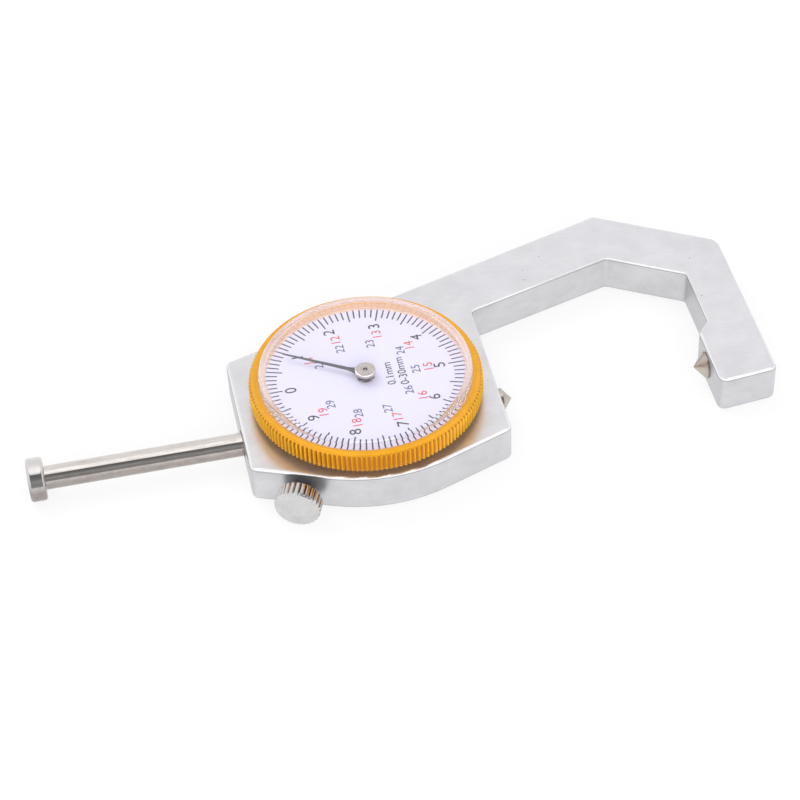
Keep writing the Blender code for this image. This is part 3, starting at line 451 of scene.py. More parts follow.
def makeInk(name, ink):
    # screen-printed ink, a little thinner in patches
    paint = newPaint(name)
    patch = paint.noise(paint.places(), 4.0, 3.0, 0.7)
    mix = paint.blend((patch - 0.45).clamped() * 0.9, ink["full"], ink["thin"])
    return paint.finish(mix, patch * 0.15 + 0.45, patch, 0.1, 0.01, metal=0.0)


needlePaint = {
    "dark": (0.060, 0.060, 0.066),
    "pale": (0.105, 0.105, 0.112),
    "grainPerMm": 6.0,
    "metal": 0.35,
    "roughness": 0.38,
}


def makeNeedlePaint():
    # dark grey satin lacquer
    paint = newPaint("needlePaint")
    fine = paint.noise(paint.places(), needlePaint["grainPerMm"], 3.0, 0.6)
    colour = paint.blend(fine, needlePaint["dark"], needlePaint["pale"])
    rough = fine * 0.12 + needlePaint["roughness"]
    return paint.finish(colour, rough, fine, 0.06, 0.01, needlePaint["metal"])


clearCup = {
    "ior": 1.49,
    "tint": (0.985, 0.98, 1.0),
    "through": (0.97, 0.965, 0.985),   # what the light that falls in keeps
    "smearsPerMm": 0.5,
    "roughness": 0.015,
    "specular": 0.15,
    "haze": (0.90, 0.76, 0.69),        # painted reflection: pale peach on the seated skirt and its foot, for the gold seat seen through the wall
    "seatReflectionShare": 0.34,
    "footShare": 2.0,                  # how much stronger the painted reflection is on the foot
    "seatTop": 11.0,                   # height where the bezel's seat ends
    "trapped": (0.84, 0.82, 0.90),     # light that runs round inside the wall
    "trappedAfter": (4.0, 6.0),        # bounces
}


def makeClearAcrylic():
    # clear moulding: real refraction for what is seen, plain transparency for the light that falls in
    paint = newPaint("clearAcrylic")
    look = clearCup
    places = paint.places()
    smear = paint.noise(places, look["smearsPerMm"], 3.0, 0.6)
    rough = smear.above(0.5, 0.75) * 0.02 + look["roughness"]
    shader = paint.add("ShaderNodeBsdfPrincipled", {}, {
        "Base Color": look["tint"], "Metallic": 0.0, "Roughness": rough, "IOR": look["ior"],
        "Transmission Weight": 1.0, "Specular IOR Level": look["specular"]})
    through = paint.add("ShaderNodeBsdfTransparent", {}, {"Color": look["through"]})
    share = paint.ray("Is Shadow Ray").maths("MAXIMUM", paint.ray("Is Diffuse Ray"))
    # painted reflection: the seated outside of the skirt and its foot get a pale peach diffuse, for
    # the gold seat seen through the wall
    height = paint.split(places)[2]
    low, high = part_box("crystal")
    outside, foot = high.x / mm, low.z / mm
    seated = paint.fromCentre(places).above(outside - 0.25, outside - 0.15)
    seated = seated * (1 - height.above(look["seatTop"] - 0.05, look["seatTop"] + 0.05))
    stood = (1 - height.above(foot + 0.02, foot + 0.06)) * look["footShare"]
    seatReflectionMask = (seated.maths("MAXIMUM", stood) * look["seatReflectionShare"]).clamped()
    haze = paint.add("ShaderNodeBsdfDiffuse", {}, {"Color": look["haze"]})
    shader = paint.add("ShaderNodeMixShader", {}, {0: seatReflectionMask, 1: shader, 2: haze})
    # light that has run round inside the wall many times comes out as a pale glow, not black
    trapped = paint.ray("Ray Depth").above(*look["trappedAfter"])
    glow = paint.add("ShaderNodeEmission", {}, {"Color": look["trapped"], "Strength": 1.0})
    shader = paint.add("ShaderNodeMixShader", {}, {0: trapped, 1: shader, 2: glow})
    return paint.shown(paint.add("ShaderNodeMixShader", {}, {0: share, 1: shader, 2: through}))


brasses = {
    "plateBrass": {"colour": (0.80, 0.62, 0.30), "dark": (0.52, 0.36, 0.15), "roughness": 0.28},
    "bushBronze": {"colour": (0.72, 0.50, 0.26), "dark": (0.45, 0.28, 0.13), "roughness": 0.32},
    "gearBrass": {"colour": (0.86, 0.68, 0.34), "dark": (0.60, 0.43, 0.18), "roughness": 0.22},
}


def makeBrass(name):
    # rolled or turned brass with a fine grain and a slight tarnish
    look = brasses[name]
    paint = newPaint(name)
    grain = paint.noise(paint.places((0.3, 4.0, 2.0)), 1.6, 3.0, 0.6)
    tarnish = paint.noise(paint.places(), 0.35, 4.0, 0.6)
    share = (tarnish - 0.5) * 1.3 + (grain - 0.5) * 0.5 + 0.1
    mix = paint.blend(share.clamped(), look["colour"], look["dark"])
    rough = (tarnish - 0.5) * 0.2 + look["roughness"]
    return paint.finish(mix, rough, grain, 0.10, 0.02)


steels = {
    "screwSteel": {"colour": (0.62, 0.62, 0.63), "dark": (0.40, 0.40, 0.41), "roughness": 0.27},
    "arborSteel": {"colour": (0.68, 0.68, 0.68), "dark": (0.48, 0.48, 0.48), "roughness": 0.18},
    "blueSpring": {"colour": (0.16, 0.20, 0.42), "dark": (0.09, 0.10, 0.22), "roughness": 0.24},
}


def makeSteel(name):
    # plain or blued steel with fine marks
    look = steels[name]
    paint = newPaint(name)
    places = paint.places()
    marks = paint.noise(places, 2.4, 4.0, 0.65)
    cloud = paint.noise(places, 0.5, 3.0, 0.6)
    share = (cloud - 0.5) * 1.2 + (marks - 0.5) * 0.6 + 0.1
    mix = paint.blend(share.clamped(), look["colour"], look["dark"])
    rough = (marks - 0.5) * 0.15 + look["roughness"]
    return paint.finish(mix, rough, marks, 0.08, 0.02)


# Mesh helpers

def revolve(profile, steps, radiusAt=None, closed=True):
    # turn (radius, height) points about Z; radiusAt may trim a radius by angle and height
    shape = bmesh.new()
    rows = []
    for radius, height in profile:
        row = []
        for index in range(steps if radius > 0 else 1):
            angle = fullTurn * index / steps
            trimmed = radiusAt(radius, height, angle) if radiusAt else radius
            row.append(shape.verts.new((trimmed * math.cos(angle), trimmed * math.sin(angle), height)))
        rows.append(row)
    pairs = list(zip(rows, rows[1:]))
    if closed:
        pairs.append((rows[-1], rows[0]))
    for low, high in pairs:
        for index in range(steps):
            ring = [low[index % len(low)], low[(index + 1) % len(low)],
                    high[(index + 1) % len(high)], high[index % len(high)]]
            corners = [corner for place, corner in enumerate(ring) if corner not in ring[:place]]
            if len(corners) > 2:
                shape.faces.new(corners)
    return shape


def arcPoints(centre, radius, start, end, count):
    # points of an arc in the profile plane, angles in degrees
    points = []
    for index in range(count + 1):
        angle = math.radians(start + (end - start) * index / count)
        points.append((centre[0] + radius * math.cos(angle), centre[1] + radius * math.sin(angle)))
    return points


def slab(shape, outline, low, high):
    # closed slab over a flat outline
    under = [shape.verts.new((*point, low)) for point in outline]
    over = [shape.verts.new((*point, high)) for point in outline]
    count = len(outline)
    for index in range(count):
        after = (index + 1) % count
        shape.faces.new([under[index], under[after], over[after], over[index]])
    shape.faces.new(list(reversed(under)))
    shape.faces.new(over)


def addPiece(name, shape, material, body, replaced=(), turn=None, sharp=38):
    # finish a bmesh as a piece that rides on a body
    bmesh.ops.recalc_face_normals(shape, faces=shape.faces)
    for face in shape.faces:
        face.smooth = True
    for edge in shape.edges:
        edge.smooth = not edge.is_manifold or edge.calc_face_angle() < math.radians(sharp)
    mesh = bpy.data.meshes.new(name)
    if turn:
        bmesh.ops.transform(shape, matrix=turn, verts=shape.verts)
    shape.to_mesh(mesh)
    shape.free()
    mesh.materials.append(material)
    piece = bpy.data.objects.new(name, mesh)
    bpy.context.scene.collection.objects.link(piece)
    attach(piece, body)
    if replaced:
        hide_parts(*replaced)
    return piece


def axisFrame(origin, axis):
    # turns a lathe shape's Z onto an axis of the part
    across = Vector((0, 0, 1)).cross(axis).normalized()
    other = axis.cross(across)
    turn = Matrix((across, other, axis)).transposed().to_4x4()
    return Matrix.Translation(origin) @ turn


# CAD parts: smooth where the real surface is round, and their finishes

smoothing = {
    "weld": 0.002,       # points this close become one
    "crease": 32,        # degrees: edges sharper than this stay sharp
}


def makeSmoothing():
    # rounds read as round, whatever facets the solid was saved with
    group = bpy.data.node_groups.new("smoothRounds", "GeometryNodeTree")
    group.interface.new_socket("Geometry", in_out="INPUT", socket_type="NodeSocketGeometry")
    group.interface.new_socket("Geometry", in_out="OUTPUT", socket_type="NodeSocketGeometry")
    nodes = group.nodes
    start = nodes.new("NodeGroupInput")
    bare = nodes.new("GeometryNodeRemoveAttribute")
    bare.inputs["Name"].default_value = "custom_normal"
    merge = nodes.new("GeometryNodeMergeByDistance")
    merge.inputs["Distance"].default_value = smoothing["weld"] * mm
    smooth = nodes.new("GeometryNodeSetShadeSmooth")
    angle = nodes.new("GeometryNodeInputMeshEdgeAngle")
    over = nodes.new("FunctionNodeCompare")
    over.operation = "GREATER_THAN"
    over.inputs["B"].default_value = math.radians(smoothing["crease"])
    crease = nodes.new("GeometryNodeSetShadeSmooth")
    crease.domain = "EDGE"
    crease.inputs["Shade Smooth"].default_value = False
    end = nodes.new("NodeGroupOutput")
    links = group.links
    links.new(start.outputs[0], bare.inputs["Geometry"])
    links.new(bare.outputs["Geometry"], merge.inputs["Geometry"])
    links.new(merge.outputs["Geometry"], smooth.inputs["Geometry"])
    links.new(smooth.outputs["Geometry"], crease.inputs["Geometry"])
    links.new(angle.outputs["Unsigned Angle"], over.inputs["A"])
    links.new(over.outputs["Result"], crease.inputs["Selection"])
    links.new(crease.outputs["Geometry"], end.inputs[0])
    return group


smoothRounds = makeSmoothing()


def finishNode(name, material):
    node = frame["nodes"][name]
    for index in range(len(node.material_slots)):
        node.material_slots[index].material = material
    smoother = node.modifiers.new("smoothRounds", "NODES")
    smoother.node_group = smoothRounds
    even = node.modifiers.new("evenNormals", "WEIGHTED_NORMAL")
    even.keep_sharp = True


castMetalPaint = makeCastMetal()
rodSteelPaint = makeRodSteel()
coneSteelPaint = makeConeSteel()
brightNickelPaint = makeBrightNickel()
goldPaint = makeGoldAnodised()
dialCoat = makeDialPaint()
needleCoat = makeNeedlePaint()
clearAcrylic = makeClearAcrylic()
platePaint = makeBrass("plateBrass")
bushPaint = makeBrass("bushBronze")
gearPaint = makeBrass("gearBrass")
screwPaint = makeSteel("screwSteel")
arborPaint = makeSteel("arborSteel")
springPaint = makeSteel("blueSpring")

finishes = {
    castMetalPaint: ["frame", "back_cover"],
    rodSteelPaint: ["spindle"],
    coneSteelPaint: ["contact_tip", "anvil_tip"],
    bushPaint: ["rear_bush", "front_bush", "guide_shoe", "lock_pad"],
    platePaint: ["movement_plate", "lower_bridge", "gear_cock", "bridge_pillar_left",
                 "bridge_pillar_right", "spring_stud"],
    gearPaint: ["centre_gear", "take_up_gear"],
    arborPaint: ["centre_arbor", "take_up_staff"],
    screwPaint: ["cover_screw_1", "cover_screw_2", "cover_screw_3", "plate_screw_1", "plate_screw_2",
                 "plate_screw_3", "bridge_screw_left", "bridge_screw_right", "cock_screw_left",
                 "cock_screw_right"],
    springPaint: ["spiral_spring", "bezel_retaining_ring"],
    dialCoat: ["dial_plate"],
}
for material, names in finishes.items():
    for name in names:
        finishNode(name, material)
print("finishes set on", sum(len(names) for names in finishes.values()), "parts")


# Bezel

bezelDetail = {
    "flutes": 150,
    "columnsPerFlute": 12,
    "fluteDepth": 0.42,
    "ridgeSharpness": 0.75,
    "gripTop": 3.25,       # above the bezel's foot
    "chamfer": 0.34,
    "footChamfer": 0.16,
    "footWall": 0.35,      # share of the wall left at the foot
    "wall": 0.47,          # from the grip's outside in to the smooth ring
    "lineWidth": 0.07,     # turned line above the grip
    "lineDepth": 0.05,
    "topRound": 0.28,
    "rimWidth": 0.5,
    "rimFall": 0.7,        # how steeply the rim falls in to the crystal
}


def makeBezel():
    low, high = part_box("bezel")
    size = bezelDetail
    outside = high.x
    foot, top = low.z, high.z
    grip = foot + size["gripTop"] * mm
    chamfer = size["chamfer"] * mm
    footCut = size["footChamfer"] * mm
    shoulder = outside - size["wall"] * mm
    rounding = size["topRound"] * mm
    lineHeight = grip + size["lineWidth"] * mm
    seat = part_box("crystal")[1].x + slip
    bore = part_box("bezel_retaining_ring")[1].x + slip
    wall = outside - shoulder
    footWall = size["footWall"]

    def trimmed(radius, height, angle):
        # ridges and hollows, cut back by the chamfers above and below
        if radius < shoulder - hair / 2 or height > grip + hair / 2:
            return radius
        phase = (angle / fullTurn * size["flutes"]) % 1
        flute = outside - size["fluteDepth"] * mm * math.sin(math.pi * phase) ** size["ridgeSharpness"]
        upper = shoulder + wall * (grip - height) / chamfer
        lower = shoulder + wall * (footWall + (1 - footWall) * (height - foot) / footCut)
        return max(min(flute, upper, lower), shoulder)

    lowSteps = (0.3, 0.6, 0.85, 1.1)
    highSteps = (1.25, 1.0, 0.85, 0.7, 0.55, 0.4, 0.2, 0.0)
    profile = [(bore, foot), (outside, foot)]
    profile += [(outside, foot + footCut * share) for share in lowSteps]
    profile += [(outside, grip - chamfer * share) for share in highSteps]
    line = shoulder - size["lineDepth"] * mm
    width = size["lineWidth"] * mm
    profile += [(shoulder - hair, grip + hair), (line, lineHeight),
                (line, lineHeight + width), (shoulder - hair, lineHeight + 1.6 * width)]
    profile += arcPoints((shoulder - rounding, top - rounding), rounding, 0, 90, 7)
    rim = shoulder - size["rimWidth"] * mm
    profile += [(rim, top), (seat, top - (rim - seat) * size["rimFall"])]
    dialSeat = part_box("dial_plate")[0].z
    profile += [(seat, dialSeat), (bore, dialSeat - slip)]
    shape = revolve(profile, size["flutes"] * size["columnsPerFlute"], trimmed)
    return addPiece("knurledBezel", shape, goldPaint, "bezel_body",
                    ["bezel"], sharp=55)


makeBezel()
print("bezel made")


# Crystal

crystalDetail = {
    "skirtWall": 1.0,      # under the sheet
    "footWall": 1.05,      # on the dial
    "sheet": 0.9,
    "edgeRound": 0.75,
    "innerRound": 0.3,
    "dome": 0.15,
    "columns": 256,
    "domeRings": 10,
}


def makeCrystal():
    low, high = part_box("crystal")
    size = crystalDetail
    outside = high.x
    dome = size["dome"] * mm
    rounding = size["edgeRound"] * mm
    inner = size["innerRound"] * mm
    sheet = size["sheet"] * mm
    skirt = outside - size["skirtWall"] * mm
    foot = outside - size["footWall"] * mm
    edgeHeight = high.z - dome
    profile = [(foot, low.z), (outside, low.z)]
    profile += arcPoints((outside - rounding, edgeHeight - rounding), rounding, 0, 90, 8)
    flat = outside - rounding
    rings = size["domeRings"]

    def domeHeight(radius):
        return edgeHeight + dome * (1 - (radius / flat) ** 2)

    # up over the dome to the middle, and back along its underside
    crown = [flat * (rings - index) / rings for index in range(1, rings)]
    profile += [(radius, domeHeight(radius)) for radius in crown]
    profile += [(0, high.z), (0, high.z - sheet)]
    innerFlat = skirt - inner
    crown = [innerFlat * index / rings for index in range(1, rings)]
    profile += [(radius, domeHeight(radius) - sheet) for radius in crown]
    innerHeight = domeHeight(innerFlat) - sheet
    profile += arcPoints((innerFlat, innerHeight - inner), inner, 90, 0, 10)
    shape = revolve(profile, size["columns"])
    return addPiece("clearCup", shape, clearAcrylic, "bezel_body",
                    ["crystal"], sharp=60)


makeCrystal()
print("crystal made")


# Printing on the dial

printDetail = {
    "thickness": 0.012,
    "sunk": 0.004,        # how far the ticks reach down into the lacquer
    "fatten": 0.06,       # how much the ink spreads past each letter's outline
    "tickOuter": 16.4,
    "tickInner": 14.3,
    "longTickInner": 13.56,
    "tickWidth": 0.235,
    "divisions": 100,
    "longEvery": 5,
}

numberRings = {
    # first number, how many, radius and height of the digits, ink
    "tens0": {"first": 0, "count": 10, "radius": 12.22, "height": 1.95, "ink": "blackInk"},
    "tens1": {"first": 11, "count": 9, "radius": 10.2, "height": 1.60, "ink": "redInk"},
    "tens2": {"first": 21, "count": 9, "radius": 8.2, "height": 1.45, "ink": "blueInk"},
}

# the real print is a little uneven: how far each number sits from its place on the ring
numberShifts = {
    0: (-0.05, -0.15), 2: (-0.06, 0.22), 3: (-0.15, -0.05), 4: (-0.07, 0.16), 5: (-0.12, 0.00),
    6: (-0.12, 0.18), 7: (-0.12, -0.13), 8: (-0.22, -0.20), 9: (0.09, 0.00), 12: (0.03, 0.23),
    13: (0.53, -0.02), 14: (0.02, -0.13), 15: (0.08, 0.20), 16: (-0.22, -0.12), 17: (0.00, -0.15),
    18: (-0.18, -0.05), 19: (0.19, -0.17), 21: (-0.22, -0.24), 22: (-0.27, -0.23), 23: (-0.33, -0.19),
    24: (0.00, 0.09), 26: (-0.52, 0.33), 27: (-0.53, -0.02), 28: (-0.22, -0.02),
}

legends = {
    "division": {"words": "0.1mm", "place": (3.82, -0.03), "height": 1.42},
    "range": {"words": "0-30mm", "place": (5.88, 0.10), "height": 1.42},
}

inks = {name: makeInk(name, ink) for name, ink in inkColours.items()}

digitHeightShare = 0.73  # a digit's height over the built-in font's size


def printBase():
    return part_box("dial_plate")[1].z


def makeTicks():
    size = printDetail
    shape = bmesh.new()
    half = size["tickWidth"] * mm / 2
    low = printBase() - size["sunk"] * mm
    for index in range(size["divisions"]):
        angle = fullTurn * index / size["divisions"]
        inner = size["longTickInner"] if index % size["longEvery"] == 0 else size["tickInner"]
        out = Vector((math.cos(angle), math.sin(angle)))
        side = Vector((-out.y, out.x)) * half
        start = out * inner * mm
        end = out * size["tickOuter"] * mm
        slab(shape, [start - side, end - side, end + side, start + side], low,
             low + size["thickness"] * mm)
    return addPiece("dialTicks", shape, inks["tickInk"], "bezel_body")


def wordShape(words, height, place):
    # outlines of built-in lettering that reads along +Y, as thin solid print
    curve = bpy.data.curves.new("words", "FONT")
    curve.body = words
    curve.align_x = "CENTER"
    curve.align_y = "CENTER"
    curve.size = height * mm / digitHeightShare
    curve.bevel_depth = printDetail["fatten"] * mm
    curve.bevel_resolution = 0
    curve.resolution_u = 4
    holder = bpy.data.objects.new("words", curve)
    bpy.context.scene.collection.objects.link(holder)
    bpy.context.view_layer.update()
    graph = bpy.context.evaluated_depsgraph_get()
    mesh = bpy.data.meshes.new_from_object(holder.evaluated_get(graph))
    bpy.data.objects.remove(holder)
    xs = [point.co.x for point in mesh.vertices]
    ys = [point.co.y for point in mesh.vertices]
    middle = Vector(((min(xs) + max(xs)) / 2, (min(ys) + max(ys)) / 2, 0))
    sunk = (printDetail["fatten"] - printDetail["thickness"]) * mm
    base = Vector((place[0] * mm, place[1] * mm, printBase() - sunk))
    turn = Matrix.Rotation(math.pi / 2, 4, "Z") @ Matrix.Translation(-middle)
    mesh.transform(Matrix.Translation(base) @ turn)
    return mesh


def makeWords(name, entries, ink):
    shape = bmesh.new()
    for words, height, place in entries:
        mesh = wordShape(words, height, place)
        shape.from_mesh(mesh)
        bpy.data.meshes.remove(mesh)
    bmesh.ops.remove_doubles(shape, verts=shape.verts, dist=0.0005 * mm)
    return addPiece(name, shape, inks[ink], "bezel_body")


def makeNumbers():
    for name, ring in numberRings.items():
        entries = []
        for number in range(ring["first"], ring["first"] + ring["count"]):
            angle = math.pi - fullTurn * (number % 10) / 10
            right, up = numberShifts.get(number, (0.0, 0.0))
            place = (ring["radius"] * math.cos(angle) + right, ring["radius"] * math.sin(angle) + up)
            entries.append((str(number), ring["height"], place))
        makeWords(name + "Numbers", entries, ring["ink"])
    entries = [(item["words"], item["height"], item["place"]) for item in legends.values()]
    makeWords("dialLegends", entries, "blackInk")


makeTicks()
makeNumbers()
print("dial printed")


# Pointer

needleDetail = {
    "eye": 1.6,            # radius of the round middle
    "rootHalf": 0.30,
    "flareEnd": 3.6,
    "flareSteps": 10,
    "flareBend": 2.4,
    "tipHalf": 0.11,
    "tipLength": 0.1,
    "bevel": 0.05,
}


def makeNeedle():
    low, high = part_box("pointer_needle")
    size = needleDetail
    reach = math.hypot(max(abs(low.x), abs(high.x)), max(abs(low.y), abs(high.y))) / mm
    angle = math.atan2(high.y, low.x)
    eye, flareEnd, root = size["eye"], size["flareEnd"], size["rootHalf"]
    tip = size["tipHalf"]
    # one side: the straight blade, then a concave flare that runs into the round eye
    side = [(reach + tip * 0.2, tip * 0.3), (reach - size["tipLength"], tip)]
    for index in range(size["flareSteps"] + 1):
        share = index / size["flareSteps"]
        side.append((flareEnd + (eye * 0.82 - flareEnd) * share,
                     root + (eye * 0.57 - root) * share ** size["flareBend"]))
    side += arcPoints((0, 0), eye, 36, 180, 20)
    other = [(x, -y) for x, y in reversed(side[:-1])]
    points = [(x * mm, y * mm) for x, y in side + other]
    shape = bmesh.new()
    edge = size["bevel"] * mm
    slab(shape, points, low.z, high.z - edge)
    shape.verts.ensure_lookup_table()
    top = max(shape.faces, key=lambda face: face.calc_center_median().z)
    bmesh.ops.inset_region(shape, faces=[top], thickness=edge * 0.9, depth=edge)
    bmesh.ops.triangulate(shape, faces=[face for face in shape.faces if len(face.verts) > 4])
    turn = Matrix.Rotation(angle, 4, "Z")
    return addPiece("needle", shape, needleCoat, "pointer_body",
                    ["pointer_needle"], turn)


hubDetail = {
    # radii and heights of the split collet, the neck and the cap
    "collet": 1.42,
    "colletHeight": 0.7,
    "colletEdge": 0.08,
    "neck": 1.0,
    "neckHeight": 0.3,
    "cap": 1.71,
    "capEdge": 0.05,
    "capRound": 0.22,
    "dimple": 0.36,
    "dimpleDepth": 0.24,
    "dimpleEdge": 0.03,
    "cuts": (45, 135, 225, 315),   # degrees round the collet
    "cutHalf": 0.16,
    "cutTop": 0.45,
    "cutDepth": 0.55,
    "columns": 144,
}


def makeHub():
    low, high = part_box("pointer_hub")
    size = hubDetail
    collet = size["collet"] * mm
    colletTop = low.z + size["colletHeight"] * mm
    colletEdge = size["colletEdge"] * mm
    cutTop = low.z + size["cutTop"] * mm
    neck = size["neck"] * mm
    neckTop = colletTop + size["neckHeight"] * mm
    cap = size["cap"] * mm
    capEdge = size["capEdge"] * mm
    rounding = size["capRound"] * mm
    dimple = size["dimple"] * mm
    dimpleDepth = size["dimpleDepth"] * mm
    dimpleEdge = size["dimpleEdge"] * mm
    profile = [(0, low.z), (collet, low.z), (collet, cutTop - slip / 2), (collet, cutTop + slip / 2)]
    profile += [(collet, colletTop - colletEdge), (collet - colletEdge, colletTop)]
    profile += [(neck, colletTop), (neck, neckTop)]
    profile += [(cap - capEdge, neckTop), (cap, neckTop + capEdge)]
    profile += arcPoints((cap - rounding, high.z - rounding), rounding, 0, 90, 6)
    profile += [(dimple + dimpleEdge, high.z), (dimple, high.z - dimpleEdge),
                (dimple * 0.8, high.z - dimpleDepth * 0.8), (0, high.z - dimpleDepth)]
    cuts = [math.radians(angle) for angle in size["cuts"]]
    half = size["cutHalf"] * mm
    depth = size["cutDepth"] * mm

    def slotted(radius, height, angle):
        # four sawcuts across the collet
        if height > cutTop or radius < collet / 2:
            return radius
        off = min(abs((angle - cut + math.pi) % fullTurn - math.pi) for cut in cuts)
        return radius - depth if off * radius < half else radius

    shape = revolve(profile, size["columns"], slotted, closed=False)
    return addPiece("pointerHub", shape, hubPaint, "pointer_body", ["pointer_hub"])


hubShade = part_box("pointer_hub")[0].z / mm + hubDetail["colletHeight"]
hubPaint = makeSatinNickel("hubNickel", satinNickel["hub"], (0, 0, 0), (0, 0, 1), hubShade)
makeNeedle()
makeHub()
print("pointer made")


# Pull button

buttonDetail = {
    "edgeRound": 0.5,
    "faceDish": 0.06,
    "stemHole": 0.72,     # share of the contact tip's radius
    "columns": 128,
}


def makeButton():
    low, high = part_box("pull_button")
    size = buttonDetail
    radius = (high.z - low.z) / 2
    thickness = high.x - low.x
    rounding = size["edgeRound"] * mm
    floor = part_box("spindle")[0].x - low.x - slip
    tipLow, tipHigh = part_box("contact_tip")
    hole = (tipHigh.z - tipLow.z) / 2 * size["stemHole"]
    dish = size["faceDish"] * mm
    profile = [(0, dish), (radius * 0.5, dish * 0.4), (radius * 0.72, 0)]
    profile += arcPoints((radius - rounding, rounding), rounding, -90, 0, 8)
    profile += arcPoints((radius - rounding, thickness - rounding), rounding, 0, 90, 8)
    profile += [(hole, thickness), (hole, floor), (0, floor)]
    shape = revolve(profile, size["columns"], closed=False)
    centre = Vector((low.x, (low.y + high.y) / 2, (low.z + high.z) / 2))
    turn = axisFrame(centre, Vector((1, 0, 0)))
    return addPiece("pullButton", shape, brightNickelPaint, "spindle_body",
                    ["pull_button"], turn)


makeButton()
print("button made")


# Thumb screw

thumbFlutes = {"count": 26, "columns": 14, "ridgeWidth": 1.3}

thumbDetail = {
    "radius": 3.69,
    "length": 2.6,
    "stand": 1.8,         # how far the head stands off the frame
    "fluteDepth": 0.30,
    "bevel": 0.30,        # along the axis
    "bevelIn": 0.45,      # towards it
    "neck": 1.9,
    "shank": 1.25,
    "shankEnd": 8.0,
    "shankEdge": 0.3,
}


def lockJoint():
    joint = [item for item in frame["joints"] if item["name"] == "lock_screw_turn"][0]
    return Vector(joint["pos_m"]), Vector(joint["axis"]).normalized()


def makeThumbScrew():
    foot, outward = lockJoint()
    size = {key: value * mm for key, value in thumbDetail.items()}
    count = thumbFlutes["count"]
    start = size["stand"]
    end = start + size["length"]
    bevel = size["bevel"]
    radius = size["radius"]
    face = radius - size["bevelIn"]
    slope = size["bevelIn"] / bevel

    def fluted(wide, height, angle):
        # broad rounded ridges between narrower hollows, bevelled at both ends
        if wide < radius - hair / 2:
            return wide
        phase = (angle / fullTurn * count) % 1
        hollow = max(0.0, math.cos(fullTurn * phase)) ** thumbFlutes["ridgeWidth"]
        flute = radius - size["fluteDepth"] * hollow
        return min(flute, face + slope * (end - height), face + slope * (height - start))

    edge, tail = size["shankEdge"], -size["shankEnd"]
    steps = (0.02, 0.33, 0.66, 1.0, 1.3)
    profile = [(0, tail), (size["shank"] - edge, tail), (size["shank"], tail + edge),
               (size["shank"], start / 2), (size["neck"], start / 2),
               (size["neck"], start - hair / 2), (face - slip / 2, start)]
    profile += [(radius, start + bevel * share) for share in steps]
    profile += [(radius, end - bevel * share) for share in reversed(steps)]
    profile += [(face - slip / 2, end), (radius * 0.55, end), (0, end)]
    shape = revolve(profile, count * thumbFlutes["columns"], fluted, closed=False)
    facePaint = makeSatinNickel("thumbNickel", satinNickel["thumb"], foot, outward,
                                fluteRoot=(radius - size["fluteDepth"]) / mm,
                                faceAt=(end - bevel) / mm)
    return addPiece("thumbScrew", shape, facePaint, "lock_screw_body",
                    ["lock_screw"], axisFrame(foot, outward), sharp=50)


makeThumbScrew()
print("thumb screw made")


# Floor, light and camera

floorDetail = {
    "radius": 1.2,          # metres
    "drop": 0.02,           # below the part, in millimetres
    "colour": (0.93, 0.93, 0.935),
    "pale": (0.95, 0.95, 0.95),
    "glow": 0.82,           # share of plain white that the camera sees
    "mirrored": 0.77,       # and that bright metal sees
    "dim": (0.93, 0.93, 0.93),
}


def makeFloor():
    paint = newPaint("floorPaint")
    wave = paint.noise(paint.places(), 0.02, 2.0)
    tone = paint.blend(wave, floorDetail["colour"], floorDetail["pale"])
    matt = paint.add("ShaderNodeBsdfDiffuse", {}, {"Color": tone})
    seen = paint.ray("Is Camera Ray")
    glossy = paint.ray("Is Glossy Ray")
    passed = paint.ray("Is Transmission Ray")
    glowColour = paint.blend(glossy, (1.0, 1.0, 1.0), floorDetail["dim"])
    glow = paint.add("ShaderNodeEmission", {}, {"Color": glowColour, "Strength": 1.0})
    share = seen.maths("MAXIMUM", passed) * floorDetail["glow"]
    share = share.maths("MAXIMUM", glossy * floorDetail["mirrored"])
    both = paint.add("ShaderNodeMixShader", {}, {0: share, 1: matt, 2: glow})
    material = paint.shown(both)
    shape = bmesh.new()
    bmesh.ops.create_circle(shape, cap_ends=True, segments=64, radius=floorDetail["radius"])
    mesh = bpy.data.meshes.new("floor")
    shape.to_mesh(mesh)
    shape.free()
    mesh.materials.append(material)
    floor = bpy.data.objects.new("floor", mesh)
    floor.location = (0, 0, cadBox[0][2] - floorDetail["drop"] * mm)
    bpy.context.scene.collection.objects.link(floor)
    return floor


studio = {
    "diffuse": 0.80,         # how bright the room is for matt surfaces
    # what bright metal mirrors: elevation in degrees, brightness
    "farSide": [(0, 0.94), (30, 0.92), (50, 0.94), (62, 1.02), (75, 1.22), (90, 1.30)],
    "nearSide": [(0, 0.38), (16, 0.28), (32, 0.33), (44, 0.20), (58, 0.15), (68, 0.15), (73, 0.95),
                 (86, 1.35)],
    "windowMiddle": 0.08,    # the dark opening on the camera's side, as the x part of a direction
    "windowHalf": 0.42,      # its half width across
    "windowEdge": (0.75, 1.35),
    "windowBack": (-0.16, 0.02),
}


def byElevation(paint, angle, steps):
    # brightness along a vertical sweep of the room
    level = float(steps[0][1])
    for (lowAngle, lowLight), (highAngle, highLight) in zip(steps, steps[1:]):
        level = angle.above(lowAngle, highAngle) * (highLight - lowLight) + level
    return level


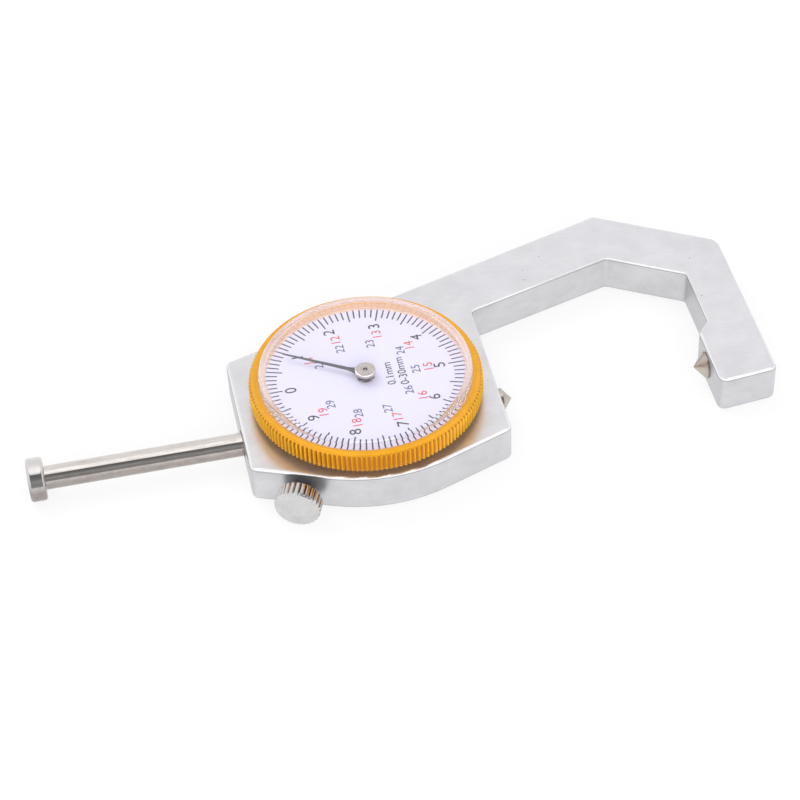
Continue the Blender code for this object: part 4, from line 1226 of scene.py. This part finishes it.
def makeStudio():
    world = bpy.data.worlds.new("studio")
    bpy.context.scene.world = world
    paint = Paint(world)
    direction = paint.add("ShaderNodeTexCoord", {}, {}, "Generated")
    x, y, z = paint.split(direction)
    angle = z.maths("ARCSINE") * math.degrees(1)
    far = byElevation(paint, angle, studio["farSide"])
    near = byElevation(paint, angle, studio["nearSide"])
    half = studio["windowHalf"]
    sharp, soft = studio["windowEdge"]
    across = 1 - (x - studio["windowMiddle"]).maths("ABSOLUTE").above(half * sharp, half * soft)
    inside = across * (1 - y.above(*studio["windowBack"]))
    seenLight = far * (1 - inside) + near * inside
    seen = paint.ray("Is Camera Ray")
    passed = paint.ray("Is Transmission Ray")
    glossy = paint.ray("Is Glossy Ray")
    plain = seen.maths("MAXIMUM", passed)
    strength = glossy * seenLight + (1 - glossy) * studio["diffuse"]
    strength = strength * (1 - plain) + plain
    light = paint.add("ShaderNodeBackground", {}, {"Color": strength, "Strength": 1.0})
    paint.add("ShaderNodeOutputWorld", {}, {"Surface": light})


lamps = {
    # place, energy in watts, size of the square soft box
    "keyLamp": {"place": (-0.30, 0.42, 0.62), "energy": 1.6, "size": 0.45},
    "fillLamp": {"place": (0.40, -0.35, 0.55), "energy": 0.6, "size": 0.5},
    "frontLamp": {"place": (-0.05, -0.60, 0.20), "energy": 3.2, "size": 0.5},
}


def makeLamps():
    for name, item in lamps.items():
        light = bpy.data.lights.new(name, "AREA")
        light.energy = item["energy"]
        light.size = item["size"]
        lamp = bpy.data.objects.new(name, light)
        place = Vector(item["place"])
        lamp.location = place
        lamp.rotation_euler = place.to_track_quat("Z", "Y").to_euler()
        lamp.visible_glossy = False
        bpy.context.scene.collection.objects.link(lamp)


viewpoint = {
    "azimuth": -9.859,
    "elevation": 43.857,
    "roll": -2.795,
    "place": (-43.39, -280.74, 277.90),
    "lens": 109.36,
    "sensor": 36.0,
}


def makeCamera():
    data = bpy.data.cameras.new("camera")
    data.lens = viewpoint["lens"]
    data.sensor_width = viewpoint["sensor"]
    data.clip_start = 0.01
    data.clip_end = 10.0
    camera = bpy.data.objects.new("camera", data)
    azimuth = math.radians(viewpoint["azimuth"])
    elevation = math.radians(viewpoint["elevation"])
    back = Vector((math.cos(elevation) * math.sin(azimuth), -math.cos(elevation) * math.cos(azimuth),
                   math.sin(elevation)))
    level = Vector((math.cos(azimuth), math.sin(azimuth), 0))
    turn = Matrix((level, back.cross(level), back)).transposed().to_4x4()
    roll = Matrix.Rotation(math.radians(viewpoint["roll"]), 4, "Z")
    camera.matrix_world = Matrix.Translation(Vector(viewpoint["place"]) * mm) @ turn @ roll
    bpy.context.scene.collection.objects.link(camera)
    bpy.context.scene.camera = camera


makeFloor()
makeStudio()
makeLamps()
makeCamera()
bpy.context.scene.view_settings.view_transform = "Standard"
print("stage set")
